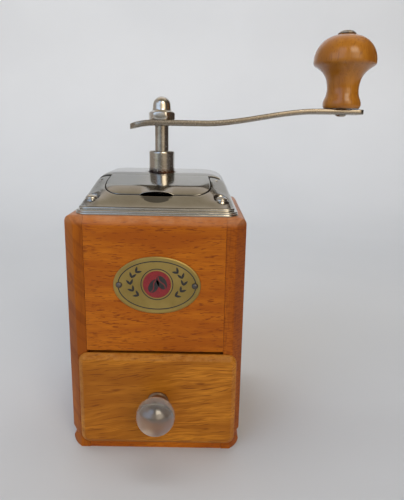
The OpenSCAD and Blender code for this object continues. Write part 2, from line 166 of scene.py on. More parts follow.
def inset(loop, d):
    """Moves a loop to the left of its direction by d, mitred."""
    p = np.array(loop, float)
    a = p - np.roll(p, 1, 0)
    b = np.roll(p, -1, 0) - p
    na = np.stack([-a[:, 1], a[:, 0]], 1) / np.linalg.norm(a, axis=1)[:, None]
    nb = np.stack([-b[:, 1], b[:, 0]], 1) / np.linalg.norm(b, axis=1)[:, None]
    n = na + nb
    m = n * (2 / np.maximum((n * n).sum(1), 1.0))[:, None]
    return p + m * d


def inside(points, loops):
    """Even-odd test of points against closed loops."""
    p = np.asarray(points, float)
    odd = np.zeros(len(p), bool)
    for loop in loops:
        a = np.array(loop, float)
        b = np.roll(a, -1, 0)
        for (x0, y0), (x1, y1) in zip(a, b):
            if y0 == y1:
                continue
            hit = (p[:, 1] > y0) != (p[:, 1] > y1)
            odd ^= hit & (p[:, 0] < (x1 - x0) * (p[:, 1] - y0) / (y1 - y0) + x0)
    return odd


def edge_distance(points, loops):
    p = np.asarray(points, float)
    best = np.full(len(p), 1e9)
    for loop in loops:
        a = np.array(loop, float)
        d = np.roll(a, -1, 0) - a
        for s, v in zip(a, d):
            t = np.clip(((p - s) @ v) / max(v @ v, 1e-12), 0, 1)
            best = np.minimum(best, np.linalg.norm(p - s - t[:, None] * v, axis=1))
    return best


def plate(loops, insets, top, bottom, step, shrink=1.0, extra=()):
    """Closed sheet over a plan region (outer loop anticlockwise, holes clockwise): top and bottom
    give heights from (x, y, distance to the edge); extra points sharpen small features."""
    pts, edges = [], []
    for loop in loops:
        for d in insets:
            q = inset(loop, d) if d > 0 else np.array(loop, float)
            base, n = len(pts), len(q)
            pts += [tuple(v) for v in q]
            edges += [(base + i, base + (i + 1) % n) for i in range(n)]
    lo, hi = np.min(loops[0], 0), np.max(loops[0], 0)
    gx = np.arange(lo[0] + step / 2, hi[0], step)
    gy = np.arange(lo[1] + step / 2, hi[1], step)
    grid = np.array([(x + (0.5 * step if j % 2 else 0), y) for j, y in enumerate(gy) for x in gx])
    keep = inside(grid, loops)
    grid = grid[keep]
    if len(grid):
        grid = grid[edge_distance(grid, loops) > insets[-1] + 0.5 * step]
    more = np.array(extra, float).reshape(-1, 2)
    if len(more):
        more = more[inside(more, loops)]
        more = more[edge_distance(more, loops) > insets[-1] + 0.12]
        gone = np.array([np.min(np.hypot(*(more - g).T)) < 0.4 * step for g in grid])
        grid = grid[~gone]
        pts += [tuple(v) for v in more]
    pts += [tuple(v) for v in grid]
    out = delaunay_2d_cdt([Vector(p) for p in pts], edges, [], 0, 1e-5, False)
    v2 = np.array([tuple(v) for v in out[0]], float)
    tri = [tuple(f) for f in out[2]]
    mid = np.array([v2[list(f)].mean(0) for f in tri])
    tri = [f for f, ok in zip(tri, inside(mid, loops)) if ok]
    dist = edge_distance(v2, loops)
    n = len(v2)
    verts = [(x, y, top(x, y, d)) for (x, y), d in zip(v2, dist)]
    verts += [(x * shrink, y * shrink, bottom(x, y, d)) for (x, y), d in zip(v2, dist)]
    faces = list(tri) + [tuple(i + n for i in reversed(f)) for f in tri]
    count = {}
    for f in tri:
        for i in range(3):
            a, b = f[i], f[(i + 1) % 3]
            count[(a, b)] = count.get((a, b), 0) + 1
    faces += [(b, a, a + n, b + n) for (a, b) in count if (b, a) not in count]
    return verts, faces


def roll(d, r):
    return r - math.sqrt(max(0.0, r * r - (r - d) ** 2)) if d < r else 0.0


def rolls(r):
    """Insets for a rolled edge of radius r."""
    return [0.0, 0.035 * r, 0.13 * r, 0.29 * r, 0.55 * r, r]


def rbox(a, b, r, n=2):
    """Block with all edges rounded by r."""
    (x0, y0, z0), (x1, y1, z1) = a, b
    w, d = x1 - x0, y1 - y0
    at = ((x0 + x1) / 2, (y0 + y1) / 2)
    rings = []
    for i in range(n + 1):
        t = math.radians(90 * i / n)
        k = r * (1 - math.sin(t))
        z = z0 + r * (1 - math.cos(t))
        rings.append([(x, y, z) for x, y in rrect(w - 2 * k, d - 2 * k, max(r - k, 1e-4) if k < r else 1e-4, n, at)])
    up = [[(x, y, z0 + z1 - z) for x, y, z in ring] for ring in reversed(rings)]
    return loft(rings + up)


def to_front(part, y0):
    """Lays a part made in plan (x, height) onto the front: its heights point to -Y from y0."""
    verts, faces = part
    return [(x, y0 - h, z) for x, z, h in verts], faces


def pchip(points):
    """Monotone smooth curve through points, as a function."""
    x = np.array([p[0] for p in points], float)
    y = np.array([p[1] for p in points], float)
    h = np.diff(x)
    s = np.diff(y) / h
    m = np.zeros(len(x))
    for i in range(1, len(x) - 1):
        if s[i - 1] * s[i] > 0:
            w1, w2 = 2 * h[i] + h[i - 1], h[i] + 2 * h[i - 1]
            m[i] = (w1 + w2) / (w1 / s[i - 1] + w2 / s[i])
    m[0], m[-1] = s[0], s[-1]

    def f(v):
        v = min(max(v, x[0]), x[-1])
        i = min(max(int(np.searchsorted(x, v, "right")) - 1, 0), len(h) - 1)
        t = (v - x[i]) / h[i]
        return float((1 + 2 * t) * (1 - t) ** 2 * y[i] + t * (1 - t) ** 2 * h[i] * m[i]
                     + t * t * (3 - 2 * t) * y[i + 1] + t * t * (t - 1) * h[i] * m[i + 1])
    return f


def smooth(t):
    t = min(1.0, max(0.0, t))
    return t * t * (3 - 2 * t)


def pn(x, y=0.0, z=0.0):
    return noise.noise(Vector((x, y, z)))


# ------------------------------------------------------------- material helper
class Mat:
    def __init__(self, name, **inputs):
        self.m = bpy.data.materials.new(name)
        self.m.use_nodes = True
        self.t = self.m.node_tree
        self.t.nodes.clear()
        out = self.t.nodes.new("ShaderNodeOutputMaterial")
        self.b = self.t.nodes.new("ShaderNodeBsdfPrincipled")
        self.t.links.new(self.b.outputs[0], out.inputs[0])
        for k, v in inputs.items():
            self.put(k.replace("_", " "), v)
        tc = self.t.nodes.new("ShaderNodeTexCoord")
        mp = self.t.nodes.new("ShaderNodeMapping")
        mp.inputs["Scale"].default_value = (1000.0, 1000.0, 1000.0)
        self.t.links.new(tc.outputs["Object"], mp.inputs["Vector"])
        self.co = mp.outputs[0]                      # object space in millimetres

    def put(self, socket, value):
        s = self.b.inputs[socket]
        if isinstance(value, bpy.types.NodeSocket):
            self.t.links.new(value, s)
        else:
            s.default_value = (*value, 1.0) if isinstance(value, tuple) and len(value) == 3 else value

    def _in(self, sock, v):
        if isinstance(v, bpy.types.NodeSocket):
            self.t.links.new(v, sock)
        elif v is not None:
            sock.default_value = (*v, 1.0) if isinstance(v, tuple) and len(v) == 3 and sock.type == "RGBA" else v

    def math(self, op, a, b=None, c=None, clamp=False):
        n = self.t.nodes.new("ShaderNodeMath")
        n.operation = op
        n.use_clamp = clamp
        self._in(n.inputs[0], a)
        self._in(n.inputs[1], b)
        self._in(n.inputs[2], c)
        return n.outputs[0]

    def sep(self, v=None):
        n = self.t.nodes.new("ShaderNodeSeparateXYZ")
        self.t.links.new(v or self.co, n.inputs[0])
        return n.outputs[0], n.outputs[1], n.outputs[2]

    def comb(self, x, y, z):
        n = self.t.nodes.new("ShaderNodeCombineXYZ")
        for s, v in zip(n.inputs, (x, y, z)):
            self._in(s, v)
        return n.outputs[0]

    def scaled(self, v, s):
        n = self.t.nodes.new("ShaderNodeMapping")
        n.inputs["Scale"].default_value = s
        self.t.links.new(v, n.inputs["Vector"])
        return n.outputs[0]

    def noise(self, v, scale=1.0, detail=2.0, rough=0.5, dist=0.0):
        n = self.t.nodes.new("ShaderNodeTexNoise")
        self.t.links.new(v, n.inputs["Vector"])
        n.inputs["Scale"].default_value = scale
        n.inputs["Detail"].default_value = detail
        n.inputs["Roughness"].default_value = rough
        n.inputs["Distortion"].default_value = dist
        return n.outputs[0]

    def ramp(self, f, *stops):
        n = self.t.nodes.new("ShaderNodeValToRGB")
        self.t.links.new(f, n.inputs[0])
        el = n.color_ramp.elements
        while len(el) < len(stops):
            el.new(0.5)
        for e, (p, c) in zip(el, stops):
            e.position = p
            c = (c, c, c) if not isinstance(c, tuple) else c
            e.color = (*c, 1.0)
        return n.outputs[0]

    def level(self, f, a, b, lo=0.0, hi=1.0, kind="SMOOTHSTEP"):
        n = self.t.nodes.new("ShaderNodeMapRange")
        n.interpolation_type = kind
        self.t.links.new(f, n.inputs[0])
        for s, v in zip(n.inputs[1:5], (a, b, lo, hi)):
            s.default_value = v
        return n.outputs[0]

    def mix(self, f, a, b, kind="MIX"):
        n = self.t.nodes.new("ShaderNodeMix")
        n.data_type = "RGBA"
        n.blend_type = kind
        self._in(n.inputs[0], f)
        self._in(n.inputs[6], a)
        self._in(n.inputs[7], b)
        return n.outputs[2]

    def bump(self, h, strength, dist):
        n = self.t.nodes.new("ShaderNodeBump")
        n.inputs["Strength"].default_value = strength
        n.inputs["Distance"].default_value = dist
        self.t.links.new(h, n.inputs["Height"])
        return n.outputs[0]


def wood(name, light, dark, fleck, grain="X", slope=0.0, wave=1.0, streak=0.22, flecks=0.55, fleck_len=0.26,
         rough=0.36, coat=0.05, seed=0.0, hatch=0.0, bands=0.0, fine=0.28, wear_and_painted_sheen=None):
    """Lacquered or raw beech. The grain runs along one axis, with broad tone bands, streaks and short flecks."""
    m = Mat(name, Coat_Weight=coat, Coat_Roughness=0.22, IOR=1.5, Specular_IOR_Level=0.16)
    x, y, z = m.sep()
    a, b, c = {"X": (x, z, y), "Z": (z, x, y), "Y": (y, z, x)}[grain]
    a = m.math("ADD", a, seed)
    w1 = m.noise(m.comb(m.math("MULTIPLY", a, 0.022), m.math("MULTIPLY", b, 0.06), m.math("MULTIPLY", c, 0.03)), 1.0, 2.0)
    bend = m.math("MULTIPLY", m.math("SUBTRACT", w1, 0.5), 7.0 * wave)
    b2 = m.math("ADD", m.math("ADD", b, m.math("MULTIPLY", a, -slope)), bend)
    v = m.comb(a, b2, c)
    n1 = m.noise(m.scaled(v, (0.014, 0.085, 0.085)), 1.0, 2.0, 0.55)
    n2 = m.noise(m.scaled(v, (0.045, 0.85, 0.6)), 1.0, 3.0, 0.6)
    n3 = m.noise(m.scaled(v, (fleck_len, 1.9, 1.4)), 1.0, 1.0, 0.4)
    n4 = m.noise(m.scaled(v, (0.12, 3.2, 2.4)), 1.0, 2.0, 0.5)
    col = m.mix(m.level(n1, 0.36, 0.64), light, dark)
    col = m.mix(m.level(n2, 0.42, 0.66, 0.0, streak), col, dark)
    col = m.mix(m.level(n4, 0.40, 0.70, 0.0, fine), col, dark)
    fl = m.level(n3, 0.585, 0.70, 0.0, flecks)
    col = m.mix(fl, col, fleck)
    if hatch:
        hn = m.noise(m.comb(m.math("MULTIPLY", x, 0.35), m.math("MULTIPLY", y, 0.35), m.math("MULTIPLY", z, 1.7)), 1.0, 1.0, 0.3)
        col = m.mix(m.level(hn, 0.47, 0.60, 0.0, hatch), col, fleck)
    if bands:
        bn = m.noise(m.comb(m.math("MULTIPLY", m.math("ADD", z, m.math("MULTIPLY", x, 0.95)), 0.16),
                            m.math("MULTIPLY", x, 0.02), m.math("MULTIPLY", y, 0.02)), 1.0, 2.0, 0.55)
        col = m.mix(m.level(bn, 0.50, 0.60, 0.0, bands), col, fleck)
    h = m.math("ADD", m.math("MULTIPLY", fl, -1.0), m.math("MULTIPLY", n4, 0.4))
    # the edge hook paints wear together with a painted sheen on the edges
    if wear_and_painted_sheen:
        col = wear_and_painted_sheen(m, col)
    m.put("Base Color", col)
    m.put("Roughness", m.level(m.noise(m.scaled(m.co, (0.06, 0.06, 0.06)), 1.0, 3.0), 0.3, 0.7, rough - 0.07, rough + 0.09, "LINEAR"))
    m.put("Normal", m.bump(h, 0.35, 0.00012))
    return m.m


def metal(name, color, tint, rough=0.24, spread=0.12, scratch=0.3, spots=0.35, spot=(0.16, 0.12, 0.08), grain=0.25, rust_and_painted_light=None):
    """Plated or plain metal with uneven tarnish, fine scratches and small dark spots."""
    m = Mat(name, Metallic=1.0)
    big = m.noise(m.co, 0.045, 4.0, 0.6)
    fine = m.noise(m.co, 0.8, 4.0, 0.65)
    col = m.mix(m.level(big, 0.35, 0.68), color, tint)
    sp = m.level(m.noise(m.co, 0.55, 5.0, 0.7), 0.60, 0.72, 0.0, spots)
    col = m.mix(sp, col, spot)
    s1 = m.noise(m.scaled(m.co, (0.10, 2.6, 2.6)), 1.0, 2.0, 0.6, 0.4)
    s2 = m.noise(m.scaled(m.co, (2.2, 0.12, 2.2)), 1.0, 2.0, 0.6, 0.6)
    sc = m.math("ADD", m.level(s1, 0.60, 0.70), m.level(s2, 0.62, 0.70))
    r = m.math("ADD", m.level(fine, 0.3, 0.7, rough - spread / 2, rough + spread / 2, "LINEAR"), m.math("MULTIPLY", sp, 0.5))
    h = m.math("ADD", m.math("MULTIPLY", sc, -scratch), m.math("MULTIPLY", fine, grain))
    # the hook adds rust on the collar and painted light on the cover
    if rust_and_painted_light:
        col, r = rust_and_painted_light(m, col, r)
    m.put("Base Color", col)
    m.put("Roughness", r)
    m.put("Normal", m.bump(h, 0.10, 0.0002))
    return m.m


# ------------------------------------------------------------------- materials
LIGHT, DARK, FLECK = (0.53, 0.158, 0.007), (0.355, 0.084, 0.004), (0.20, 0.039, 0.003)


def edge_wear_and_painted_sheen(m, col):
    """The rounded top edge is painted paler: partly rubbed wear, partly a painted sheen standing in for the window
    reflected on the round-over.
    """
    z = m.sep()[2]
    n = m.noise(m.co, 0.16, 4.0, 0.6)
    # painted sheen mixed with wear: the top 5 mm of the boards are painted paler
    f = m.math("MULTIPLY", m.level(z, H - 5.2, H - 1.5), m.level(n, 0.30, 0.72, 0.16, 0.46, "LINEAR"))
    return m.mix(f, col, (0.66, 0.36, 0.20))



beech_front = wood("beech_front", LIGHT, DARK, FLECK, "X", slope=0.03, wave=0.8, streak=0.55, flecks=0.85, fine=0.75, seed=13.0,
                   wear_and_painted_sheen=edge_wear_and_painted_sheen)
beech_back = wood("beech_back", LIGHT, DARK, FLECK, "X", slope=-0.02, wave=0.9, streak=0.45, flecks=0.85, fine=0.5, seed=261.0,
                  wear_and_painted_sheen=edge_wear_and_painted_sheen)


def lip_wear_and_painted_highlight(m, col):
    """The drawer's bevel is painted paler, most along its top: partly rubbed wear, partly a painted highlight where the
    top bevel faces the light.
    """
    x, y, z = m.sep()
    n = m.noise(m.co, 0.30, 4.0, 0.65)
    out = m.level(y, -47.0, -47.6)
    # painted highlight with wear: the upward top bevel and the side bevels are painted paler
    top = m.math("MULTIPLY", m.level(z, LIP_Z + 23.5, LIP_Z + 24.3), m.level(n, 0.34, 0.62, 0.0, 0.42, "LINEAR"))
    side = m.math("MULTIPLY", m.level(m.math("ABSOLUTE", m.math("SUBTRACT", x, LIP_X)), 40.2, 41.4), m.level(n, 0.36, 0.66, 0.05, 0.42, "LINEAR"))
    return m.mix(m.math("MULTIPLY", m.math("MAXIMUM", top, side), out), col, (0.56, 0.26, 0.055))


beech_drawer = wood("beech_drawer", (0.60, 0.230, 0.020), (0.33, 0.105, 0.007), (0.18, 0.047, 0.004), "X", slope=0.12,
                    wave=1.2, streak=0.9, flecks=0.8, fleck_len=0.10, fine=0.65, seed=77.0, wear_and_painted_sheen=lip_wear_and_painted_highlight)
beech_left = wood("beech_left", (0.39, 0.107, 0.005), (0.29, 0.072, 0.004), (0.17, 0.036, 0.003), "Z", wave=0.6,
                  streak=0.4, flecks=0.4, fleck_len=0.12, seed=31.0, bands=0.45, wear_and_painted_sheen=edge_wear_and_painted_sheen)
beech_right = wood("beech_right", (0.42, 0.108, 0.005), (0.31, 0.073, 0.004), (0.18, 0.035, 0.003), "Z", wave=0.5,
                   streak=0.4, flecks=0.4, fleck_len=0.12, seed=190.0, hatch=0.5, wear_and_painted_sheen=edge_wear_and_painted_sheen)
raw_wood = wood("raw_wood", (0.56, 0.36, 0.19), (0.46, 0.28, 0.14), (0.30, 0.17, 0.08), "X", wave=0.8, rough=0.62,
                coat=0.0, flecks=0.5, seed=5.0)
raw_wood_y = wood("raw_wood_y", (0.56, 0.36, 0.19), (0.46, 0.28, 0.14), (0.30, 0.17, 0.08), "Y", wave=0.8, rough=0.62,
                  coat=0.0, flecks=0.5, seed=15.0)
knob_wood = wood("knob_wood", (0.50, 0.195, 0.019), (0.36, 0.125, 0.010), (0.22, 0.066, 0.006), "Z", wave=2.2,
                 streak=0.45, flecks=0.45, fleck_len=0.08, rough=0.30, coat=0.75, seed=44.0)
knob_wood.node_tree.nodes["Principled BSDF"].inputs["Coat Roughness"].default_value = 0.07


def collar_rust(m, col, r):
    z = m.sep()[2]
    n = m.noise(m.co, 0.9, 4.0, 0.6)
    low = m.math("MULTIPLY", m.level(z, PLATE + 3.0, PLATE + 0.6), m.level(z, PLATE - 1.0, PLATE - 0.5))
    f = m.math("MAXIMUM", m.math("MULTIPLY", low, m.level(n, 0.36, 0.56)),
               m.math("MULTIPLY", m.level(z, PLATE + 0.7, PLATE + 0.4), m.level(z, PLATE - 1.0, PLATE - 0.5, 0.0, 0.9)))
    hue = m.mix(m.level(m.sep()[0], -1.5, 2.0), (0.030, 0.014, 0.016), (0.105, 0.036, 0.012))
    return m.mix(f, col, hue), m.math("ADD", r, m.math("MULTIPLY", f, 0.5))


NI, NI2 = (0.58, 0.56, 0.525), (0.51, 0.48, 0.435)
nickel = metal("nickel", NI, NI2, 0.22, 0.10)


def painted_rim_light_and_left_shade(m, col, r):
    """Painted light on the cover: the rim is painted brighter than the rest of the cover as a painted highlight, and
    the left of its top and its left flank are painted darker as a painted reflection of the darker room on the left.
    """
    x, y, z = m.sep()
    # painted shade: the left of the top and the left flank are painted darker
    left = m.math("MAXIMUM", m.math("MULTIPLY", m.level(x, -3.0, -16.0), m.level(z, ZC + 13.2, ZC + 14.6)), m.level(x, -29.0, -32.0))
    col = m.mix(left, col, (0.305, 0.299, 0.283))
    # painted highlight: the rim band below ZC + 4.6 is painted brighter
    return m.mix(m.level(z, ZC + 4.6, ZC + 3.4), col, (0.54, 0.52, 0.475)), r


nickel_cover = metal("nickel_cover", (0.41, 0.397, 0.372), (0.36, 0.34, 0.306), 0.12, 0.05, scratch=0.30, spots=0.22, grain=0.10,
                     rust_and_painted_light=painted_rim_light_and_left_shade)
nickel_nut = metal("nickel_nut", (0.72, 0.69, 0.64), (0.64, 0.59, 0.52), 0.19, 0.08, spots=0.3)
nickel_collar = metal("nickel_collar", NI, (0.42, 0.37, 0.31), 0.17, 0.10, spots=0.4, rust_and_painted_light=collar_rust)
nickel_arm = metal("nickel_arm", (0.41, 0.365, 0.305), (0.36, 0.31, 0.25), 0.26, 0.06, scratch=0.15, spots=0.18, grain=0.04)
steel = metal("steel", (0.40, 0.39, 0.38), (0.30, 0.29, 0.28), 0.36, 0.16, spots=0.4)
iron = metal("burr_iron", (0.17, 0.16, 0.155), (0.11, 0.10, 0.10), 0.46, 0.2, spots=0.3)
brass = metal("brass", (0.60, 0.43, 0.15), (0.48, 0.33, 0.10), 0.30, 0.14, spots=0.3)
plaque_gold = metal("plaque_gold", (0.47, 0.34, 0.11), (0.36, 0.255, 0.075), 0.36, 0.14, scratch=0.2, spots=0.25)
nail_steel = metal("nail_steel", (0.17, 0.15, 0.14), (0.11, 0.10, 0.09), 0.36, 0.16, spots=0.4)
pull_metal = metal("pull_metal", (0.40, 0.30, 0.215), (0.30, 0.21, 0.145), 0.42, 0.16, spots=0.35)


def enamel(name, a, b, rough=0.32):
    m = Mat(name, Coat_Weight=0.3, Coat_Roughness=0.15)
    n = m.noise(m.co, 0.5, 4.0, 0.6)
    m.put("Base Color", m.mix(m.level(n, 0.35, 0.7), a, b))
    m.put("Roughness", m.level(m.noise(m.co, 1.1, 3.0), 0.3, 0.7, rough - 0.06, rough + 0.1, "LINEAR"))
    m.put("Normal", m.bump(n, 0.08, 0.0001))
    return m.m


black_enamel = enamel("black_enamel", (0.012, 0.010, 0.012), (0.022, 0.018, 0.016))
red_enamel = enamel("red_enamel", (0.26, 0.008, 0.012), (0.19, 0.006, 0.010))


def clear():
    m = Mat("clear_pull", Transmission_Weight=1.0, IOR=1.49, Base_Color=(0.69, 0.635, 0.58), Coat_Weight=1.0, Coat_Roughness=0.04, Coat_IOR=1.7)
    s = m.noise(m.scaled(m.co, (0.9, 0.25, 1.4)), 1.0, 3.0, 0.6, 0.8)
    # the back of the ball is frosted
    frost = m.level(m.sep()[1], -64.5, -61.0, 0.0, 0.5)
    m.put("Roughness", m.math("MAXIMUM", m.level(s, 0.35, 0.75, 0.05, 0.18, "LINEAR"), frost))
    m.put("Normal", m.bump(s, 0.05, 0.0002))
    return m.m


clear_pull = clear()


# ------------------------------------------------------------------ wooden box
def ix(z):
    if z <= 6.8:
        return 3.6 - math.sqrt(max(0.0, 3.4 ** 2 - (z - 3.4) ** 2))
    if z < 10.6:
        return 3.6 * (1 - (z - 6.8) / 3.8)
    return SIDE_R - math.sqrt(max(0.0, SIDE_R ** 2 - (z - H + SIDE_R) ** 2)) if z > H - SIDE_R else 0.0


def iy(z):
    return TOP_R - math.sqrt(max(0.0, TOP_R ** 2 - (z - H + TOP_R) ** 2)) if z > H - TOP_R else 0.0


TOP_Z = [H - TOP_R + TOP_R * math.sin(math.radians(a)) for a in (0, 11, 16, 22, 28, 34, 40, 45, 51, 56, 61, 67, 72, 78, 84, 90)]
BEAD_Z = [3.4 - 3.4 * math.cos(math.radians(a)) for a in range(0, 181, 15)]


def corner_arcs(hx, hy, rho=0.9):
    """Chamfered corner of the plan in the quarter +x -y, edges eased by rho."""
    cx, cy = hx - rho, hy - rho
    s = 2 * HW - CH - rho * math.sqrt(2)
    b = (min(cx, s - cy), -cy)
    c = (cx, -min(cy, s - cx))
    return arc(*b, rho, -90, -45, 3) + arc(*c, rho, -45, 0, 3)


def side_board(sign):
    zs = BEAD_Z + [7.6, 8.6, 9.6, 10.3, 10.6, 11.0] + [20, 40, 60, 80, 100, 120] + TOP_Z
    rings = []
    e = 0.3
    for z in zs:
        i = ix(z) if z < 10.2 else (0.12 if z < 10.45 else 0.03 if z < 10.8 else ix(z))
        hx, hy = HW - i, HW - iy(z)
        front = arc(INW + e, -hy + e, e, 180, 270, 2) + corner_arcs(hx, hy)
        ring = front + [(x, -y) for x, y in reversed(front)]
        rings.append([(sign * x, y, z) for x, y in ring])
    return loft(rings)


build("side_left", [side_board(-1)], beech_left, "body", ["left_side_board"], 30)
build("side_right", [side_board(1)], beech_right, "body", ["right_side_board"], 30)


def panel(z0, y_sign):
    e = 0.3
    zs = [z0, z0 + 0.1, z0 + 0.4] + [z for z in (20, 40, 60, 80, 100, 120) if z > z0 + 1] + TOP_Z
    rings = []
    for k, z in enumerate(zs):
        hy = HW - iy(z) - (0.4, 0.12, 0.0)[min(k, 2)]
        w = INW - 0.02
        ring = [(-w, -INW)] + arc(-w + e, -hy + e, e, 180, 270, 2) + arc(w - e, -hy + e, e, 270, 360, 2) + [(w, -INW)]
        rings.append([(x, y * y_sign, z) for x, y in ring])
    return loft(rings)


build("front", [panel(59.4, 1)], beech_front, "body", ["front_panel"], 30)
build("back", [panel(0.0, -1)], beech_back, "body", ["back_panel"], 30)
build("base", [rbox((-INW + 0.02, -HW, 0), (INW - 0.02, INW, 4.0), 0.35)], beech_front, "body", ["bottom_board"], 30)

# ---------------------------------------------------------------------- drawer
lip_loop = subdivided(rrect(86, 54.4, 5.0, 8, (LIP_X, LIP_Z)), 1.0)
bevel = pchip([(0, 0.35), (0.12, 0.62), (0.4, 0.95), (1.2, 1.62), (2.1, 2.36), (2.6, 2.66), (3.0, 2.77), (3.6, 2.8), (60, 2.8)])
DENTS = [(-30.2, 57.0, 1.0, 0.5), (-22.6, 56.7, 0.9, 0.55), (4.6, 56.9, 1.3, 0.35), (12.5, 57.4, 1.0, 0.35),
         (22.5, 57.0, 1.2, 0.3), (-36.0, 57.3, 1.2, 0.3), (31.5, 57.2, 1.0, 0.35)]


def lip_top(x, z, d):
    t = bevel(d)
    if d < 3.5:
        top = smooth((z - 50) / 6)
        wave = 0.16 * pn(x * 0.16, z * 0.16, 3.1) + 0.10 * pn(x * 0.6, z * 0.6, 7.7)
        t += wave * (0.25 + 0.75 * top) * math.sin(math.pi * d / 3.5)
        for dx, dz, r, depth in DENTS:
            q = ((x - dx) / (1.5 * r)) ** 2 + ((z - dz) / r) ** 2
            if q < 4:
                t -= depth * math.exp(-q * 1.6)
    return max(t, 0.05)


front_lip = to_front(plate([lip_loop], [0, 0.1, 0.3, 0.7, 1.2, 1.7, 2.2, 2.6, 3.0, 3.6], lip_top,
                           lambda x, z, d: 0.0, 2.5), -47.7)
front_block = rbox((-36.4, -47.75, 4.8), (36.4, -38.5, 57.0), 0.4)
build("drawer_face", [front_lip, front_block], beech_drawer, "drawer", ["drawer_front"], 40)
for nm, s in (("left", -1), ("right", 1)):
    x0, x1 = sorted((s * 31.2, s * 36.2))
    build("drawer_side_" + nm, [rbox((x0, -38.5, 4.6), (x1, 30, 44), 0.5)], raw_wood_y, "drawer",
          ["drawer_%s_side" % nm])
build("drawer_rear", [rbox((-31.2, 25, 4.6), (31.2, 30, 44), 0.5)], raw_wood, "drawer", ["drawer_back"])
build("drawer_floor", [rbox((-31.2, -38.5, 4.6), (31.2, 25, 7.6), 0.3)], raw_wood, "drawer", ["drawer_bottom"])

PR, PL, PC = 10.3, 8.7, 14.9
pull = [(0.0, 8.9), (2.0, 8.9), (4.6, 8.9), (6.4, 8.93), (7.2, 9.03)]
pull += [(PR * math.cos(math.radians(a)), PC + PL * math.sin(math.radians(a))) for a in range(-40, 90, 4)] + [(0.0, PC + PL)]
build("pull_ball", [lathe(pull, 72, (PULL_X, LIP_Y, PULL_Z), "-Y")], clear_pull, "drawer", ["drawer_knob"], 40)
neck = [(2.05, 0.0), (5.6, 0.0), (5.95, 0.3), (6.0, 1.1), (5.75, 1.5), (5.35, 1.75), (5.1, 2.4), (5.0, 3.6), (4.95, 5.8), (5.0, 7.9),
        (5.25, 8.3), (5.25, 8.65), (5.05, 8.85), (2.05, 8.85)]
build("pull_neck", [lathe(neck, 64, (PULL_X, LIP_Y, PULL_Z), "-Y", closed=True)], pull_metal, "drawer", (), 40)


def pull_head(x, z, d):
    """Slotted round head inside the drawer."""
    h = 0.3 + 2.1 * math.sqrt(max(0.0, 1 - ((x - PULL_X) ** 2 + (z - PULL_Z) ** 2) / 4.0 ** 2))
    return min(h, 1.6) if abs(z - PULL_Z) < 0.45 else h


v, f = plate([ellipse(4.0, 4.0, 44, (PULL_X, PULL_Z))], [0, 0.06, 0.2, 0.5, 0.9], pull_head, lambda x, z, d: 0.0, 0.6, 1.0,
             [(PULL_X + u, PULL_Z + w) for w in (-0.5, -0.42, 0.42, 0.5) for u in np.arange(-3.0, 3.1, 0.6)])
pull_screw = [([(x, -38.5 + h, z) for x, z, h in v], f),
              lathe([(0, -0.05), (1.95, -0.05), (1.95, 17.6), (1.7, 17.9), (0, 17.9)], 32, (PULL_X, -38.5, PULL_Z), "-Y")]
build("pull_screw", pull_screw, steel, "drawer", ["drawer_knob_screw"], 35)

# ----------------------------------------------------------------------- cover
FOOT = 4.05
flank = pchip([(0, 19.4), (22, 19.4), (24, 19.38), (29, 19.1), (32, 18.3), (34.2, 17.1), (36, 15.3), (37.6, 12.7),
               (39.2, 9.1), (40.3, 5.9), (40.9, FOOT), (42, FOOT - 0.1)])
# the front is two planes with a bend, as the mirrored collar shows
slope = pchip([(0, 19.4), (6.2, 19.4), (7.0, 19.38), (7.8, 19.28), (12, 18.19), (17, 16.85), (22, 15.51), (26.6, 14.28), (27.4, 14.06),
               (28, 13.86), (28.6, 13.58), (29.4, 13.14), (30.2, 12.66), (31, 12.14), (32, 11.44), (33, 10.69), (35, 9.05), (37, 7.36),
               (39, 5.66), (39.8, 4.99), (40.4, 4.53), (40.9, 4.22), (42, 3.6)])
diag = pchip([(0, 19.4), (23, 19.4), (25, 19.36), (33, 17.0), (39, 13.4), (44, 10.4), (48.3, 8.5), (52.5, 6.0), (54.5, 4.85),
              (56.1, 3.95), (62, 2.0)])
rear_diag = pchip([(0, 19.4), (33, 19.4), (35, 19.36), (40, 18.2), (43.5, 15.5), (45.5, 12.4), (47, 9.8), (48.6, 8.0), (52.5, 5.9),
                   (54.5, 4.8), (56.1, 4.0), (62, 2.0)])
RIM_R, LEFT_IN = 4.4, 0.8


def plan_x(x):
    """The left flank stands a little further in than the right one."""
    return x - LEFT_IN * smooth((-x - 29) / 7)


def from_plan_x(v):
    x = v
    for _ in range(12):
        x = v + LEFT_IN * smooth((-x - 29) / 7)
    return x


rim_loop = [(from_plan_x(x), y) for x, y in subdivided(rrect(81.8, 81.8, RIM_R, 8), 1.6)]


def smax(a, b):
    m = max(a, b)
    k = m * max(0.05, 0.6 * (1 - (m / 16.0) ** 2))
    if k < 1e-6:
        return m
    h = max(0.0, 1 - abs(a - b) / k)
    return m + k / 4 * h * h


def rim_distance(x, y):
    qx, qy = abs(plan_x(x)) - (40.9 - RIM_R), abs(y) - (40.9 - RIM_R)
    return RIM_R - (math.hypot(max(qx, 0), max(qy, 0)) + min(max(qx, qy), 0))


def dome(x, y):
    px = abs(plan_x(x))
    a = 19.4 - flank(px)
    b = 19.4 - (slope(-y) if y < 0 else flank(y))
    q = (px + abs(y)) / math.sqrt(2)
    w = smooth((y + 4) / 8)
    c = 19.4 - diag(q) * (1 - w) - rear_diag(q) * w
    return 19.4 - smax(smax(a, b), c)


SCREWS = [(sx * 34.3, sy * 34.0) for sx in (-1, 1) for sy in (-1, 1)]


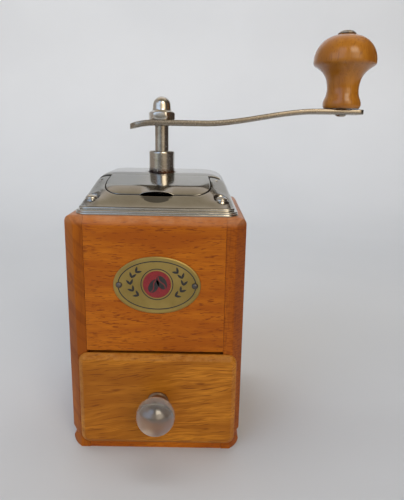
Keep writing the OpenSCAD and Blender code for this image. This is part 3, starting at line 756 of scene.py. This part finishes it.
def cover_h(x, y):
    h = dome(x, y)
    for sx, sy in SCREWS:
        d = math.hypot(x - sx, y - sy)
        if d < 4.25:
            w = 1 - smooth((d - 3.55) / 0.7)
            h = h * (1 - w) + SEAT * w
    h -= 0.4 * (1 - smooth((math.hypot(x, y) - 8.3) / 1.4))
    q = math.hypot(x / DIMPLE[0], (y - DIMPLE[2]) / DIMPLE[1])
    if q < 1 and y < DIMPLE[2]:
        floor = slope(-DIMPLE[2]) - 0.4 + 1.15 * (y - DIMPLE[2])
        w = smooth((1 - q) / 0.08)
        h = h * (1 - w) + min(h, floor) * w
    if -MOUTH_REAR + 1.5 > -y > 7.5 and abs(x) < 30:
        h -= 0.25 * min(1.0, (-y - 7.5) / 4.2) * smooth((30 - abs(x)) / 3)
    return h


DIMPLE = (8.5, 4.2, -34.2)
SEAT = 7.3
FINE = [(sx + r * math.cos(math.radians(a)), sy + r * math.sin(math.radians(a))) for sx, sy in SCREWS
        for r in (3.5, 3.62, 3.9, 4.18, 4.32) for a in range(0, 360, 12)]
FINE += [(k * DIMPLE[0] * math.cos(math.radians(a)), DIMPLE[2] + k * DIMPLE[1] * math.sin(math.radians(a)))
         for k in (0.9, 0.95, 1.0, 1.06) for a in range(180, 361, 4)]


def lid_sides(g, wide=0.0):
    """Front corners and sides of the flap (g = 0) or of its opening, from the rear left round to the rear right;
    the opening is wider on the right."""
    left = [(-LID_HW + 1.3 - g, LID_REAR + g), (-LID_HW + 0.95 - g, -14.8), (-LID_HW + 0.65 - g, -17.2), (-LID_HW + 0.2 - g, -20.2)]
    left += arc(-LID_HW + 8.6, -25.4 + 0.35 * g, 8.6 + g, 180, 270, 12)
    return left + [(-x + wide * smooth((-x - 12) / 10), y) for x, y in reversed(left)]


opening = lid_sides(GAP, 0.1)
opening = subdivided([(-33.8, MOUTH_REAR), (33.8, MOUTH_REAR), (33.8, MOUTH_REAR - 2.5), (LID_HW - 0.75 + GAP, MOUTH_REAR - 2.5)]
                     + list(reversed(opening[1:-1])) + [(-LID_HW + 0.9 - GAP, MOUTH_REAR - 2.5), (-33.8, MOUTH_REAR - 2.5)], 1.2)
collar_hole = list(reversed(ellipse(5.55, 5.55, 40)))
ER = 0.2
skin = plate([rim_loop, opening, collar_hole], rolls(ER),
             lambda x, y, d: ZC + cover_h(x, y) - (roll(d, ER) if rim_distance(x, y) > 1.0 else 0.0),
             lambda x, y, d: ZC + cover_h(x, y) - 1.15, 1.05, 0.985, FINE)
rim_profile = [(0.0, None), (0.36, 3.82), (0.56, 3.55), (0.60, 3.2), (0.52, 2.92), (0.38, 2.72), (0.40, 2.60), (0.65, 2.5),
               (1.15, 2.42), (1.7, 2.2), (2.05, 1.85), (2.12, 1.5), (2.0, 1.27), (2.0, 1.17), (2.18, 0.98), (2.3, 0.65),
               (2.3, 0.2), (2.22, -0.05), (2.05, -0.14), (0.9, -0.05), (-0.5, 0.5), (-0.62, 2.2)]


def rim_band():
    rings = []
    for off, z in rim_profile:
        ring = []
        loop = inset(rim_loop, -off) if abs(off) > 1e-9 else np.array(rim_loop)
        for k, (x, y) in enumerate(loop):
            zz = ZC + cover_h(*rim_loop[k]) if z is None else ZC + z
            ring.append((x, y, zz))
        rings.append(ring)
    rings.append([(x * 0.985, y * 0.985, ZC + cover_h(x, y) - 1.15) for x, y in rim_loop])
    return loft(rings, False, False)


lugs = []
for s in (-1, 1):
    v, f = lathe([(1.3, 28.9), (1.95, 28.9), (2.1, 29.05), (2.1, 32.35), (1.95, 32.5), (1.3, 32.5)], 36, closed=True)
    lugs.append(([(s * z, HINGE_Y + x, HINGE_Z + y) for x, y, z in v], f))
    lugs.append(rbox((s * 30.7 - 1.75, HINGE_Y - 1.1, HINGE_Z + 1.65), (s * 30.7 + 1.75, HINGE_Y + 1.1, ZC + 16.25), 0.2))


def drop_walls(part):
    """Takes off the skin's outer wall, which the rim band replaces."""
    verts, faces = part
    keep = []
    for f in faces:
        if len(f) == 4 and all(rim_distance(*(np.array(verts[i][:2]) / (1.0 if k < 2 else 0.985))) < 0.02 for k, i in enumerate(f)):
            continue
        keep.append(f)
    return verts, keep


build("cover", [drop_walls(skin), rim_band()] + lugs, nickel_cover, "body", ["top_cover"], 40)

heads = []
for sx, sy in SCREWS:
    ca, sa = math.cos(math.radians(35)), math.sin(math.radians(35 if sx * sy > 0 else -35))

    def head_top(x, y, d):
        h = 0.4 + 1.8 * math.sqrt(max(0.0, 1 - ((x - sx) ** 2 + (y - sy) ** 2) / 3.3 ** 2))
        slot = abs((y - sy) * ca - (x - sx) * sa) < 0.45
        return ZC + SEAT + (min(h, 1.5) if slot else h)

    edges = [(sx + u * ca - v * sa, sy + u * sa + v * ca) for v in (-0.5, -0.42, 0.42, 0.5) for u in np.arange(-2.4, 2.5, 0.6)]
    heads.append(plate([ellipse(3.3, 3.3, 44, (sx, sy))], [0, 0.06, 0.2, 0.5, 0.9], head_top, lambda x, y, d: ZC + SEAT - 0.1, 0.5, 1.0, edges))
    heads.append(lathe([(0, 116.0), (1.1, 116.4), (1.5, 117.2), (1.5, ZC + SEAT - 0.05), (0, ZC + SEAT - 0.05)], 24, (sx, sy, 0)))
build("screws", heads, nickel, "body", ["cover_screws"], 35)

LR = 0.16
lid_plan = subdivided(lid_sides(0.0), 0.8)


def lid_h(x, y):
    """The flap lies a little proud of the cover; a tongue in the middle of its front is pressed up as a finger lip."""
    h = dome(x, y)
    if y < -27.9:
        h += max(0.0, 13.9 + 0.39 * (y + 27.9) - h) * max(0.0, 1 - (x / 8.6) ** 2) ** 0.6
    return h + 0.10 + 0.22 * min(1.0, max(0.0, (y + 32) / 19.0))


lid_skin = plate([lid_plan], rolls(LR), lambda x, y, d: ZC + lid_h(x, y) - roll(d, LR),
                 lambda x, y, d: ZC + lid_h(x, y) - 0.85 + 0.5 * smooth((-y - 30) / 3.5), 0.85, 0.985)
lid_parts = [lid_skin]
for s in (-1, 1):
    x0, x1 = sorted((s * 23.0, s * 27.0))
    lid_parts.append(rbox((x0, HINGE_Y - 1.5, HINGE_Z - 1.2), (x1, HINGE_Y + 1.5, ZC + 16.7), 0.2))
    v, f = lathe([(0, 0), (1.0, 0), (1.2, 0.2), (1.2, 8.9), (1.0, 9.1), (0, 9.1)], 24)
    lid_parts.append(([(s * (23.0 + z), HINGE_Y + x, HINGE_Z + y) for x, y, z in v], f))
build("flap", lid_parts, nickel_cover, "lid", ["lid_flap"], 40)

# ------------------------------------------------------- collar, crank and knob
collar = [(4.06, 148.7), (5.5, 148.7), (5.5, 151.9), (8.1, 151.9), (8.2, 152.05), (8.1, 152.22), (7.5, 152.35), (7.42, 152.6),
          (7.4, 152.8), (7.4, 153.0), (7.4, 158.0), (7.4, 163.0), (7.4, 163.3), (7.32, 163.8), (7.0, 164.25), (6.6, 164.5), (4.3, 164.5), (4.06, 164.3)]
build("collar", [lathe(collar, 72, closed=True)], nickel_collar, "body", ["bearing_collar"], 35)


def arm_mid(x):
    return ARM_Z + 7.8 * smooth((x - 24) / 66.0) - (2.5 * ((-x - 3) / 15.5) ** 2 if x < -3 else 0.0)


def arm_half(x):
    return (3.3 - 0.5 * max(0.0, x) / ARM_END) / 2


arm_loop = subdivided(arc(-11, 0, 7.5, 90, 270, 16) + [(60, -7.5)] + arc(ARM_END - 3, -4, 3, 270, 360, 6)
                      + arc(ARM_END - 3, 4, 3, 0, 90, 6) + [(60, 7.5)], 2.0)
AR = 0.95


def arm_edge(x, y, d):
    """Rounding of the arm's edges: full along its length, small at the tail and the end."""
    if max(abs(x), abs(y)) < 5 or math.hypot(x - REACH, y) < 4:
        return 0.0
    return roll(d, AR) * (1 - 0.6 * smooth((-x - 11.5) / 3.0)) * (1 - 0.6 * smooth((x - ARM_END + 3.5) / 2.0))


square = list(reversed(rrect(5.82, 5.82, 0.2, 1)))
pin_hole = list(reversed(ellipse(2.55, 2.55, 24, (REACH, 0))))
arm_part = plate([arm_loop, square, pin_hole], rolls(AR), lambda x, y, d: arm_mid(x) + arm_half(x) - arm_edge(x, y, d),
                 lambda x, y, d: arm_mid(x) - arm_half(x) + arm_edge(x, y, d), 2.0)
build("arm", [arm_part], nickel_arm, "crank", ["crank_arm"], 40)


def nut():
    z0 = ARM_Z + 1.65
    levels = [(0.0, 7.1), (0.2, 7.5), (0.7, 8.1), (3.4, 8.1), (3.9, 7.7), (4.3, 7.1), (4.6, 6.5), (4.8, 6.0)]
    rings = []
    n = 96
    for h, lim in levels:
        ring = []
        for k in range(n):
            a = 2 * math.pi * k / n
            t = (math.degrees(a) + 5 + 30) % 60 - 30
            hexr = 7.9 * math.cos(math.radians(30)) / math.cos(math.radians(30 - abs(t)))
            r = (hexr ** -14 + lim ** -14) ** (-1 / 14)
            ring.append((r * math.cos(a), r * math.sin(a), z0 + h))
        rings.append(ring)
    for h, r in [(5.05, 5.65), (5.35, 5.45), (5.8, 5.3), (6.4, 5.2), (7.2, 5.14), (8.0, 5.1)]:
        rings.append([(r * math.cos(2 * math.pi * k / n), r * math.sin(2 * math.pi * k / n), z0 + h) for k in range(n)])
    for a in range(6, 89, 6):
        r, h = 5.1 * math.cos(math.radians(a)), 8.0 + 5.0 * math.sin(math.radians(a))
        rings.append([(r * math.cos(2 * math.pi * k / n), r * math.sin(2 * math.pi * k / n), z0 + h) for k in range(n)])
    return loft(rings)


build("acorn_nut", [nut()], nickel_nut, "crank", ["cap_nut"], 28)

KNOB = [(3.05, 0.0), (9.4, 0.0), (10.0, 0.25), (10.4, 0.9), (10.65, 1.9), (10.6, 3.2), (10.25, 4.6), (9.75, 5.8), (9.3, 7.0),
        (9.0, 8.3), (8.83, 9.8), (8.8, 11.2), (8.95, 12.6), (9.2, 14.0), (9.55, 15.6), (10.1, 17.0), (10.9, 18.4), (12.0, 19.8),
        (13.4, 21.1), (14.9, 22.2), (16.2, 23.0), (16.95, 23.6), (17.3, 24.3), (17.38, 25.1)]
KNOB += [(4.6 + 12.75 * math.cos(math.radians(a)), 25.4 + 13.8 * math.sin(math.radians(a))) for a in range(5, 81, 5)]
KNOB += [(5.6, 39.55), (3.4, 39.6), (3.05, 39.4)]
build("knob", [lathe([(r, KNOB_Z + z) for r, z in KNOB], 80, (REACH, 0, 0), closed=True)], knob_wood, "knob", ["crank_knob"], 50)

top = KNOB_Z + 39.6 + 0.35
pin = [(0, arm_mid(REACH) - 2.7), (1.6, arm_mid(REACH) - 2.6), (2.7, arm_mid(REACH) - 2.2), (3.1, arm_mid(REACH) - 1.6),
       (2.5, arm_mid(REACH) - 1.4), (2.5, arm_mid(REACH) + 1.42), (3.0, arm_mid(REACH) + 1.45), (3.0, top), (4.8, top),
       (5.0, top + 0.15), (5.0, top + 0.4), (4.7, top + 0.62), (4.35, top + 0.75), (4.15, top + 1.05), (3.6, top + 1.45),
       (2.6, top + 1.8), (1.4, top + 2.02), (0, top + 2.1)]
build("pin", [lathe(pin, 56, (REACH, 0, 0))], nickel_arm, "crank", ["knob_pin"], 35)

# ---------------------------------------------------------------------- plaque
def oval(d):
    return ellipse(23 - d, 15.6 - d, 96, (BADGE_X, BADGE_Z))


plaque_h = pchip([(0, 0.42), (0.2, 0.66), (0.5, 0.78), (1.0, 0.8), (1.5, 0.66), (1.9, 0.6), (40, 0.6)])
holes = [list(reversed(ellipse(0.8, 0.8, 20, (BADGE_X + s * 19.9, BADGE_Z)))) for s in (-1, 1)]
build("plaque", [to_front(plate([oval(0)], [0, 0.1, 0.3, 0.6, 1.0, 1.5, 1.9], lambda x, z, d: plaque_h(d), lambda x, z, d: 0.0, 2.0), -HW)],
      plaque_gold, "body", ["nameplate"], 40)


def inlay(name, loops_list, mat, h=0.66):
    parts = []
    for loops in loops_list:
        parts.append(to_front(plate(loops, [0, 0.06], lambda x, z, d: h - (0.03 if d < 0.03 else 0.0), lambda x, z, d: 0.5, 1.2), -HW))
    return build(name, parts, mat, "body", (), 40)


def at_badge(loop):
    return [(BADGE_X + x, BADGE_Z + z) for x, z in loop]


def leaf(cx, cz, ln, w, ang):
    out = []
    ca, sa = math.cos(math.radians(ang)), math.sin(math.radians(ang))
    for i in range(24):
        t = i / 24
        s, side = (2 * t, 1) if t < 0.5 else (2 - 2 * t, -1)
        u = ln * (s - 0.5)
        v = -side * w * math.sin(math.pi * s) ** 0.8 * (1 - 0.25 * s)
        out.append((cx + u * ca - v * sa, cz + u * sa + v * ca))
    return out


border = [oval(2.3), list(reversed(oval(2.85)))]
sprigs = []
for s in (-1, 1):
    for i, (x, z, a) in enumerate([(9.6, -5.6, 28), (12.4, -3.2, 52), (13.9, 0.4, 80), (13.2, 4.1, 108), (11.0, 7.0, 136)]):
        for k in (-1, 1):
            ang = a + k * 34
            lx, lz = x + 1.5 * math.cos(math.radians(ang)), z + 1.5 * math.sin(math.radians(ang))
            lf = leaf(lx, lz, 3.6, 0.72, ang)
            lf = lf if s > 0 else [(-u, v) for u, v in reversed(lf)]
            sprigs.append([at_badge(lf)])
build_ring = [at_badge(ellipse(8.6, 8.6, 64, (0, 0.6))), list(reversed(at_badge(ellipse(8.1, 8.1, 64, (0, 0.6)))))]
inlay("plaque_lines", [border, build_ring] + sprigs, black_enamel)
inlay("plaque_roundel", [[at_badge(ellipse(7.4, 7.4, 64, (0, 0.6)))]], red_enamel, 0.65)


def bean(cx, cz, a, b, ang):
    ca, sa = math.cos(math.radians(ang)), math.sin(math.radians(ang))
    halves = []
    for side in (-1, 1):
        lo = []
        for i in range(25):
            t = -1 + 2 * i / 24
            lo.append((a * t, side * b * math.sqrt(max(0.0, 1 - t * t)) + 0.0))
        seam = []
        for i in range(25):
            t = 1 - 2 * i / 24
            seam.append((a * t * 0.97, 0.28 * b * math.sin(t * 3.0) + side * 0.09 * b))
        loop = lo + seam[1:-1]
        if side > 0:
            loop = list(reversed(loop))
        halves.append([(cx + u * ca - v * sa, cz + u * sa + v * ca) for u, v in loop])
    return halves


beans = [[at_badge(h)] for h in bean(-1.7, -0.3, 4.0, 2.5, 62) + bean(2.5, 1.6, 4.0, 2.5, 118)]
inlay("plaque_beans", beans, black_enamel, 0.70)
nails = []
for s in (-1, 1):
    nails.append(lathe([(0, -0.3), (1.55, -0.3), (1.7, -0.1), (1.66, 0.12), (1.45, 0.45), (1.0, 0.72), (0.5, 0.86), (0, 0.9)], 32,
                       (BADGE_X + s * 19.9, -HW - 0.8, BADGE_Z), "-Y"))
build("plaque_nails", nails, nail_steel, "body", ["nameplate_nails"], 40)

# ---------------------------------------- spring, shortened by the grind setting
SPRING_LO, SPRING_HI, WIRE = 117.4, ZC + 15.7, 1.5


def coil_z(u):
    """Height along the coil: flat end turns, even pitch between them."""
    q = 1 / 8
    lo, hi = SPRING_LO + WIRE / 2 + 0.02, SPRING_HI - WIRE / 2 - 0.02
    t = 0.5 * u * u / q if u < q else 1 - 0.5 * (1 - u) ** 2 / q if u > 1 - q else 0.5 * q + (u - q) * (1 - q) / (1 - 2 * q)
    return lo + (hi - lo) * t


coil = []
for i in range(8 * 24 + 1):
    a, zc = 2 * math.pi * i / 24, coil_z(i / (8 * 24))
    coil.append([((6 + WIRE / 2 * math.cos(b)) * math.cos(a), (6 + WIRE / 2 * math.cos(b)) * math.sin(a), zc + WIRE / 2 * math.sin(b))
                 for b in [2 * math.pi * k / 10 for k in range(10)]])
spring = build("spring", [loft(coil)], steel, "body", ["thrust_spring"], 50)
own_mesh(spring)

# -------------------------------------------------- CAD nodes that stay as they are
KEEP = {"divider_board": raw_wood, "corner_blocks": raw_wood, "bearing_strap": steel,
        "hopper_bowl": steel, "outer_burr": iron, "inner_burr": iron, "burr_screws": steel, "lower_bridge": steel,
        "bridge_screws": steel, "adjuster_screw": brass, "thrust_ball": steel, "spindle": nickel_collar, "burr_pin": steel,
        "spring_seat": steel, "retaining_clip": steel}
for n, mat in KEEP.items():
    o = NODE[n]
    o.data.materials.clear()
    o.data.materials.append(mat)

# ----------------------------------------------------------- floor, light, camera
def backdrop():
    prof = [(-0.9, 0.0, 1.4), (0.55, 0.0, 1.1)] + [(0.55 + 0.40 * math.sin(math.radians(a)), 0.40 - 0.40 * math.cos(math.radians(a)),
                                                    0.75 + 0.35 * (1 - a / 90) ** 2) for a in range(9, 91, 9)] + [(0.95, 1.35, 0.75)]
    verts = [(x, y, z) for y, z, w in prof for x in (-w, w)]
    faces = [(2 * i, 2 * i + 1, 2 * i + 3, 2 * i + 2) for i in range(len(prof) - 1)]
    me = bpy.data.meshes.new("backdrop")
    me.from_pydata(verts, [], faces)
    for p in me.polygons:
        p.use_smooth = True
    ob = bpy.data.objects.new("backdrop", me)
    bpy.context.scene.collection.objects.link(ob)
    m = Mat("paper", Roughness=0.85)
    n = m.noise(m.co, 0.004, 3.0)
    # painted light: the paper is painted lighter up the wall and darker on the floor, a painted gradient of the light
    # falling on it
    painted_lighter_wall = m.mix(m.level(n, 0.3, 0.7), (0.675, 0.695, 0.735), (0.705, 0.725, 0.765))
    m.put("Base Color", m.mix(m.level(m.sep()[2], 30.0, 420.0), m.mix(m.level(n, 0.3, 0.7), (0.585, 0.612, 0.66), (0.61, 0.637, 0.685)), painted_lighter_wall))
    m.put("Normal", m.bump(m.noise(m.co, 0.6, 3.0), 0.02, 0.0005))
    me.materials.append(m.m)


backdrop()


def area(name, at, aim, size, radiance, color, mirrored=True):
    """Flat lamp at a place, turned to aim; radiance is what a mirror would show of it."""
    d = bpy.data.lights.new(name, "AREA")
    d.shape = "RECTANGLE"
    d.size, d.size_y = size
    d.energy = radiance * math.pi * size[0] * size[1]
    d.color = color
    ob = bpy.data.objects.new(name, d)
    ob.location = at
    ob.rotation_mode = "QUATERNION"
    ob.rotation_quaternion = (Vector(aim) - Vector(at)).to_track_quat("-Z", "Y")
    ob.visible_glossy = mirrored
    ob.visible_transmission = mirrored
    bpy.context.scene.collection.objects.link(ob)


def around(az, dist, z):
    return (math.sin(math.radians(az)) * dist, -math.cos(math.radians(az)) * dist, z)


area("window_soft", around(-48, 1.4, 0.95), (0, 0, 0.10), (0.9, 0.9), 0.98, (0.88, 0.95, 1.0), False)
area("ceiling_soft", (-0.25, -0.2, 1.9), (0.0, 0.1, 0.0), (1.6, 1.6), 0.35, (0.92, 0.97, 1.0), False)
area("wall_wash", (-0.1, 0.2, 1.5), (0.0, 0.95, 0.80), (1.2, 0.6), 2.8, (0.94, 0.98, 1.0), False)


def world():
    w = bpy.data.worlds.new("room")
    bpy.context.scene.world = w
    w.use_nodes = True
    t = w.node_tree
    t.nodes.clear()
    out = t.nodes.new("ShaderNodeOutputWorld")
    bg = t.nodes.new("ShaderNodeBackground")
    t.links.new(bg.outputs[0], out.inputs[0])
    tc = t.nodes.new("ShaderNodeTexCoord")
    sp = t.nodes.new("ShaderNodeSeparateXYZ")
    t.links.new(tc.outputs["Generated"], sp.inputs[0])

    def graded(sock, lo, hi, stops):
        r = t.nodes.new("ShaderNodeMapRange")
        t.links.new(sock, r.inputs[0])
        for s, v in zip(r.inputs[1:5], (lo, hi, 0.0, 1.0)):
            s.default_value = v
        n = t.nodes.new("ShaderNodeValToRGB")
        t.links.new(r.outputs[0], n.inputs[0])
        el = n.color_ramp.elements
        while len(el) < len(stops):
            el.new(0.5)
        for e, (p, c) in zip(el, stops):
            e.position = p
            e.color = (*c, 1.0)
        return n.outputs[0]

    def blended(lo, hi, a, b):
        r = t.nodes.new("ShaderNodeMapRange")
        r.interpolation_type = "SMOOTHSTEP"
        t.links.new(sp.outputs[2], r.inputs[0])
        for s, v in zip(r.inputs[1:5], (lo, hi, 0.0, 1.0)):
            s.default_value = v
        m = t.nodes.new("ShaderNodeMix")
        m.data_type = "RGBA"
        t.links.new(r.outputs[0], m.inputs[0])
        t.links.new(a, m.inputs[6])
        t.links.new(b, m.inputs[7])
        return m.outputs[2]

    def round_the_room(*stops):
        """Colours by azimuth in degrees: 0 is the front, -90 the left and 90 the right."""
        return graded(turn.outputs[0], -math.pi, math.pi, [((a + 180) / 360, c) for a, c in stops])

    flip = t.nodes.new("ShaderNodeMath")
    flip.operation = "MULTIPLY"
    t.links.new(sp.outputs[1], flip.inputs[0])
    flip.inputs[1].default_value = -1.0
    turn = t.nodes.new("ShaderNodeMath")
    turn.operation = "ARCTAN2"
    t.links.new(sp.outputs[0], turn.inputs[0])
    t.links.new(flip.outputs[0], turn.inputs[1])
    # at table height: grey left, pale window sill, dark middle, warm wall, dark right
    low = round_the_room((-180, (0.50, 0.51, 0.53)), (-150, (0.36, 0.33, 0.30)), (-75, (0.38, 0.32, 0.27)), (-66, (0.38, 0.33, 0.28)),
                         (-54, (0.56, 0.55, 0.45)), (-40, (0.52, 0.52, 0.44)), (-30, (0.26, 0.255, 0.22)), (-18, (0.19, 0.185, 0.165)),
                         (-2, (0.17, 0.16, 0.135)), (7, (0.27, 0.225, 0.17)), (22, (0.35, 0.285, 0.205)), (40, (0.39, 0.32, 0.23)),
                         (48, (0.30, 0.24, 0.175)), (56, (0.09, 0.07, 0.055)), (75, (0.065, 0.05, 0.04)), (150, (0.06, 0.045, 0.04)),
                         (170, (0.40, 0.40, 0.41)))
    # above it: the window and the lit wall
    mid = round_the_room((-180, (0.55, 0.56, 0.58)), (-150, (0.38, 0.365, 0.35)), (-78, (0.37, 0.35, 0.33)), (-68, (0.72, 0.86, 1.08)),
                         (-42, (0.85, 1.08, 1.45)), (-22, (0.78, 0.98, 1.30)), (-16, (0.60, 0.60, 0.60)), (-2, (0.62, 0.57, 0.50)),
                         (8, (1.2, 1.0, 0.72)), (16, (2.1, 1.82, 1.4)), (32, (2.1, 1.82, 1.4)), (44, (1.2, 1.02, 0.76)), (55, (0.10, 0.08, 0.06)),
                         (75, (0.07, 0.055, 0.045)), (150, (0.06, 0.045, 0.04)), (170, (0.45, 0.45, 0.46)))
    # a lamp on the right and the upper part of the window
    high = round_the_room((-180, (0.55, 0.56, 0.58)), (-150, (0.38, 0.365, 0.35)), (-78, (0.37, 0.35, 0.33)), (-52, (0.50, 0.42, 0.40)),
                          (-40, (0.80, 1.02, 1.40)), (-16, (0.85, 1.12, 1.60)), (-9, (0.25, 0.22, 0.19)), (1, (0.25, 0.22, 0.18)),
                          (9, (4.8, 4.2, 3.3)), (33, (4.8, 4.2, 3.3)), (42, (0.55, 0.45, 0.33)), (55, (0.12, 0.10, 0.075)),
                          (75, (0.09, 0.075, 0.06)), (150, (0.08, 0.065, 0.055)), (170, (0.45, 0.45, 0.46)))
    # overhead, from the front over to the back
    above = graded(sp.outputs[1], -0.45, 0.75, [((y + 0.45) / 1.2, c) for y, c in (
        (-0.40, (0.15, 0.14, 0.11)), (-0.14, (0.18, 0.15, 0.115)), (-0.04, (0.46, 0.395, 0.29)), (0.06, (0.53, 0.46, 0.34)),
        (0.22, (0.64, 0.56, 0.45)), (0.42, (0.80, 0.72, 0.655)), (0.70, (0.84, 0.84, 0.83)))])
    sky = blended(0.68, 0.86, blended(0.42, 0.52, blended(-0.035, 0.16, low, mid), high), above)
    # beyond the paper's edges the eye sees a plain pale studio
    seen = t.nodes.new("ShaderNodeLightPath")
    plain = t.nodes.new("ShaderNodeMix")
    plain.data_type = "RGBA"
    t.links.new(seen.outputs["Is Camera Ray"], plain.inputs[0])
    t.links.new(sky, plain.inputs[6])
    plain.inputs[7].default_value = (0.57, 0.58, 0.60, 1.0)
    t.links.new(plain.outputs[2], bg.inputs[0])
    bg.inputs[1].default_value = 1.0


world()

cam = bpy.data.cameras.new("camera")
cam.sensor_width = 36.0
cam.lens = 488.319 * 36.0 / 500.0
cam.clip_start, cam.clip_end = 0.01, 20.0
co = bpy.data.objects.new("camera", cam)
bpy.context.scene.collection.objects.link(co)
yaw, pitch, turn = math.radians(0.206), math.radians(13.634), math.radians(1.092)
fwd = Vector((math.sin(yaw) * math.cos(pitch), math.cos(yaw) * math.cos(pitch), -math.sin(pitch)))
right = Vector((math.cos(yaw), -math.sin(yaw), 0.0))
up = right.cross(fwd)
r2 = math.cos(turn) * right + math.sin(turn) * up
u2 = -math.sin(turn) * right + math.cos(turn) * up
co.matrix_world = Matrix(((r2.x, u2.x, -fwd.x, 0.02357), (r2.y, u2.y, -fwd.y, -0.29208), (r2.z, u2.z, -fwd.z, 0.17579), (0, 0, 0, 1)))
bpy.context.scene.camera = co
bpy.context.scene.view_settings.view_transform = "Standard"
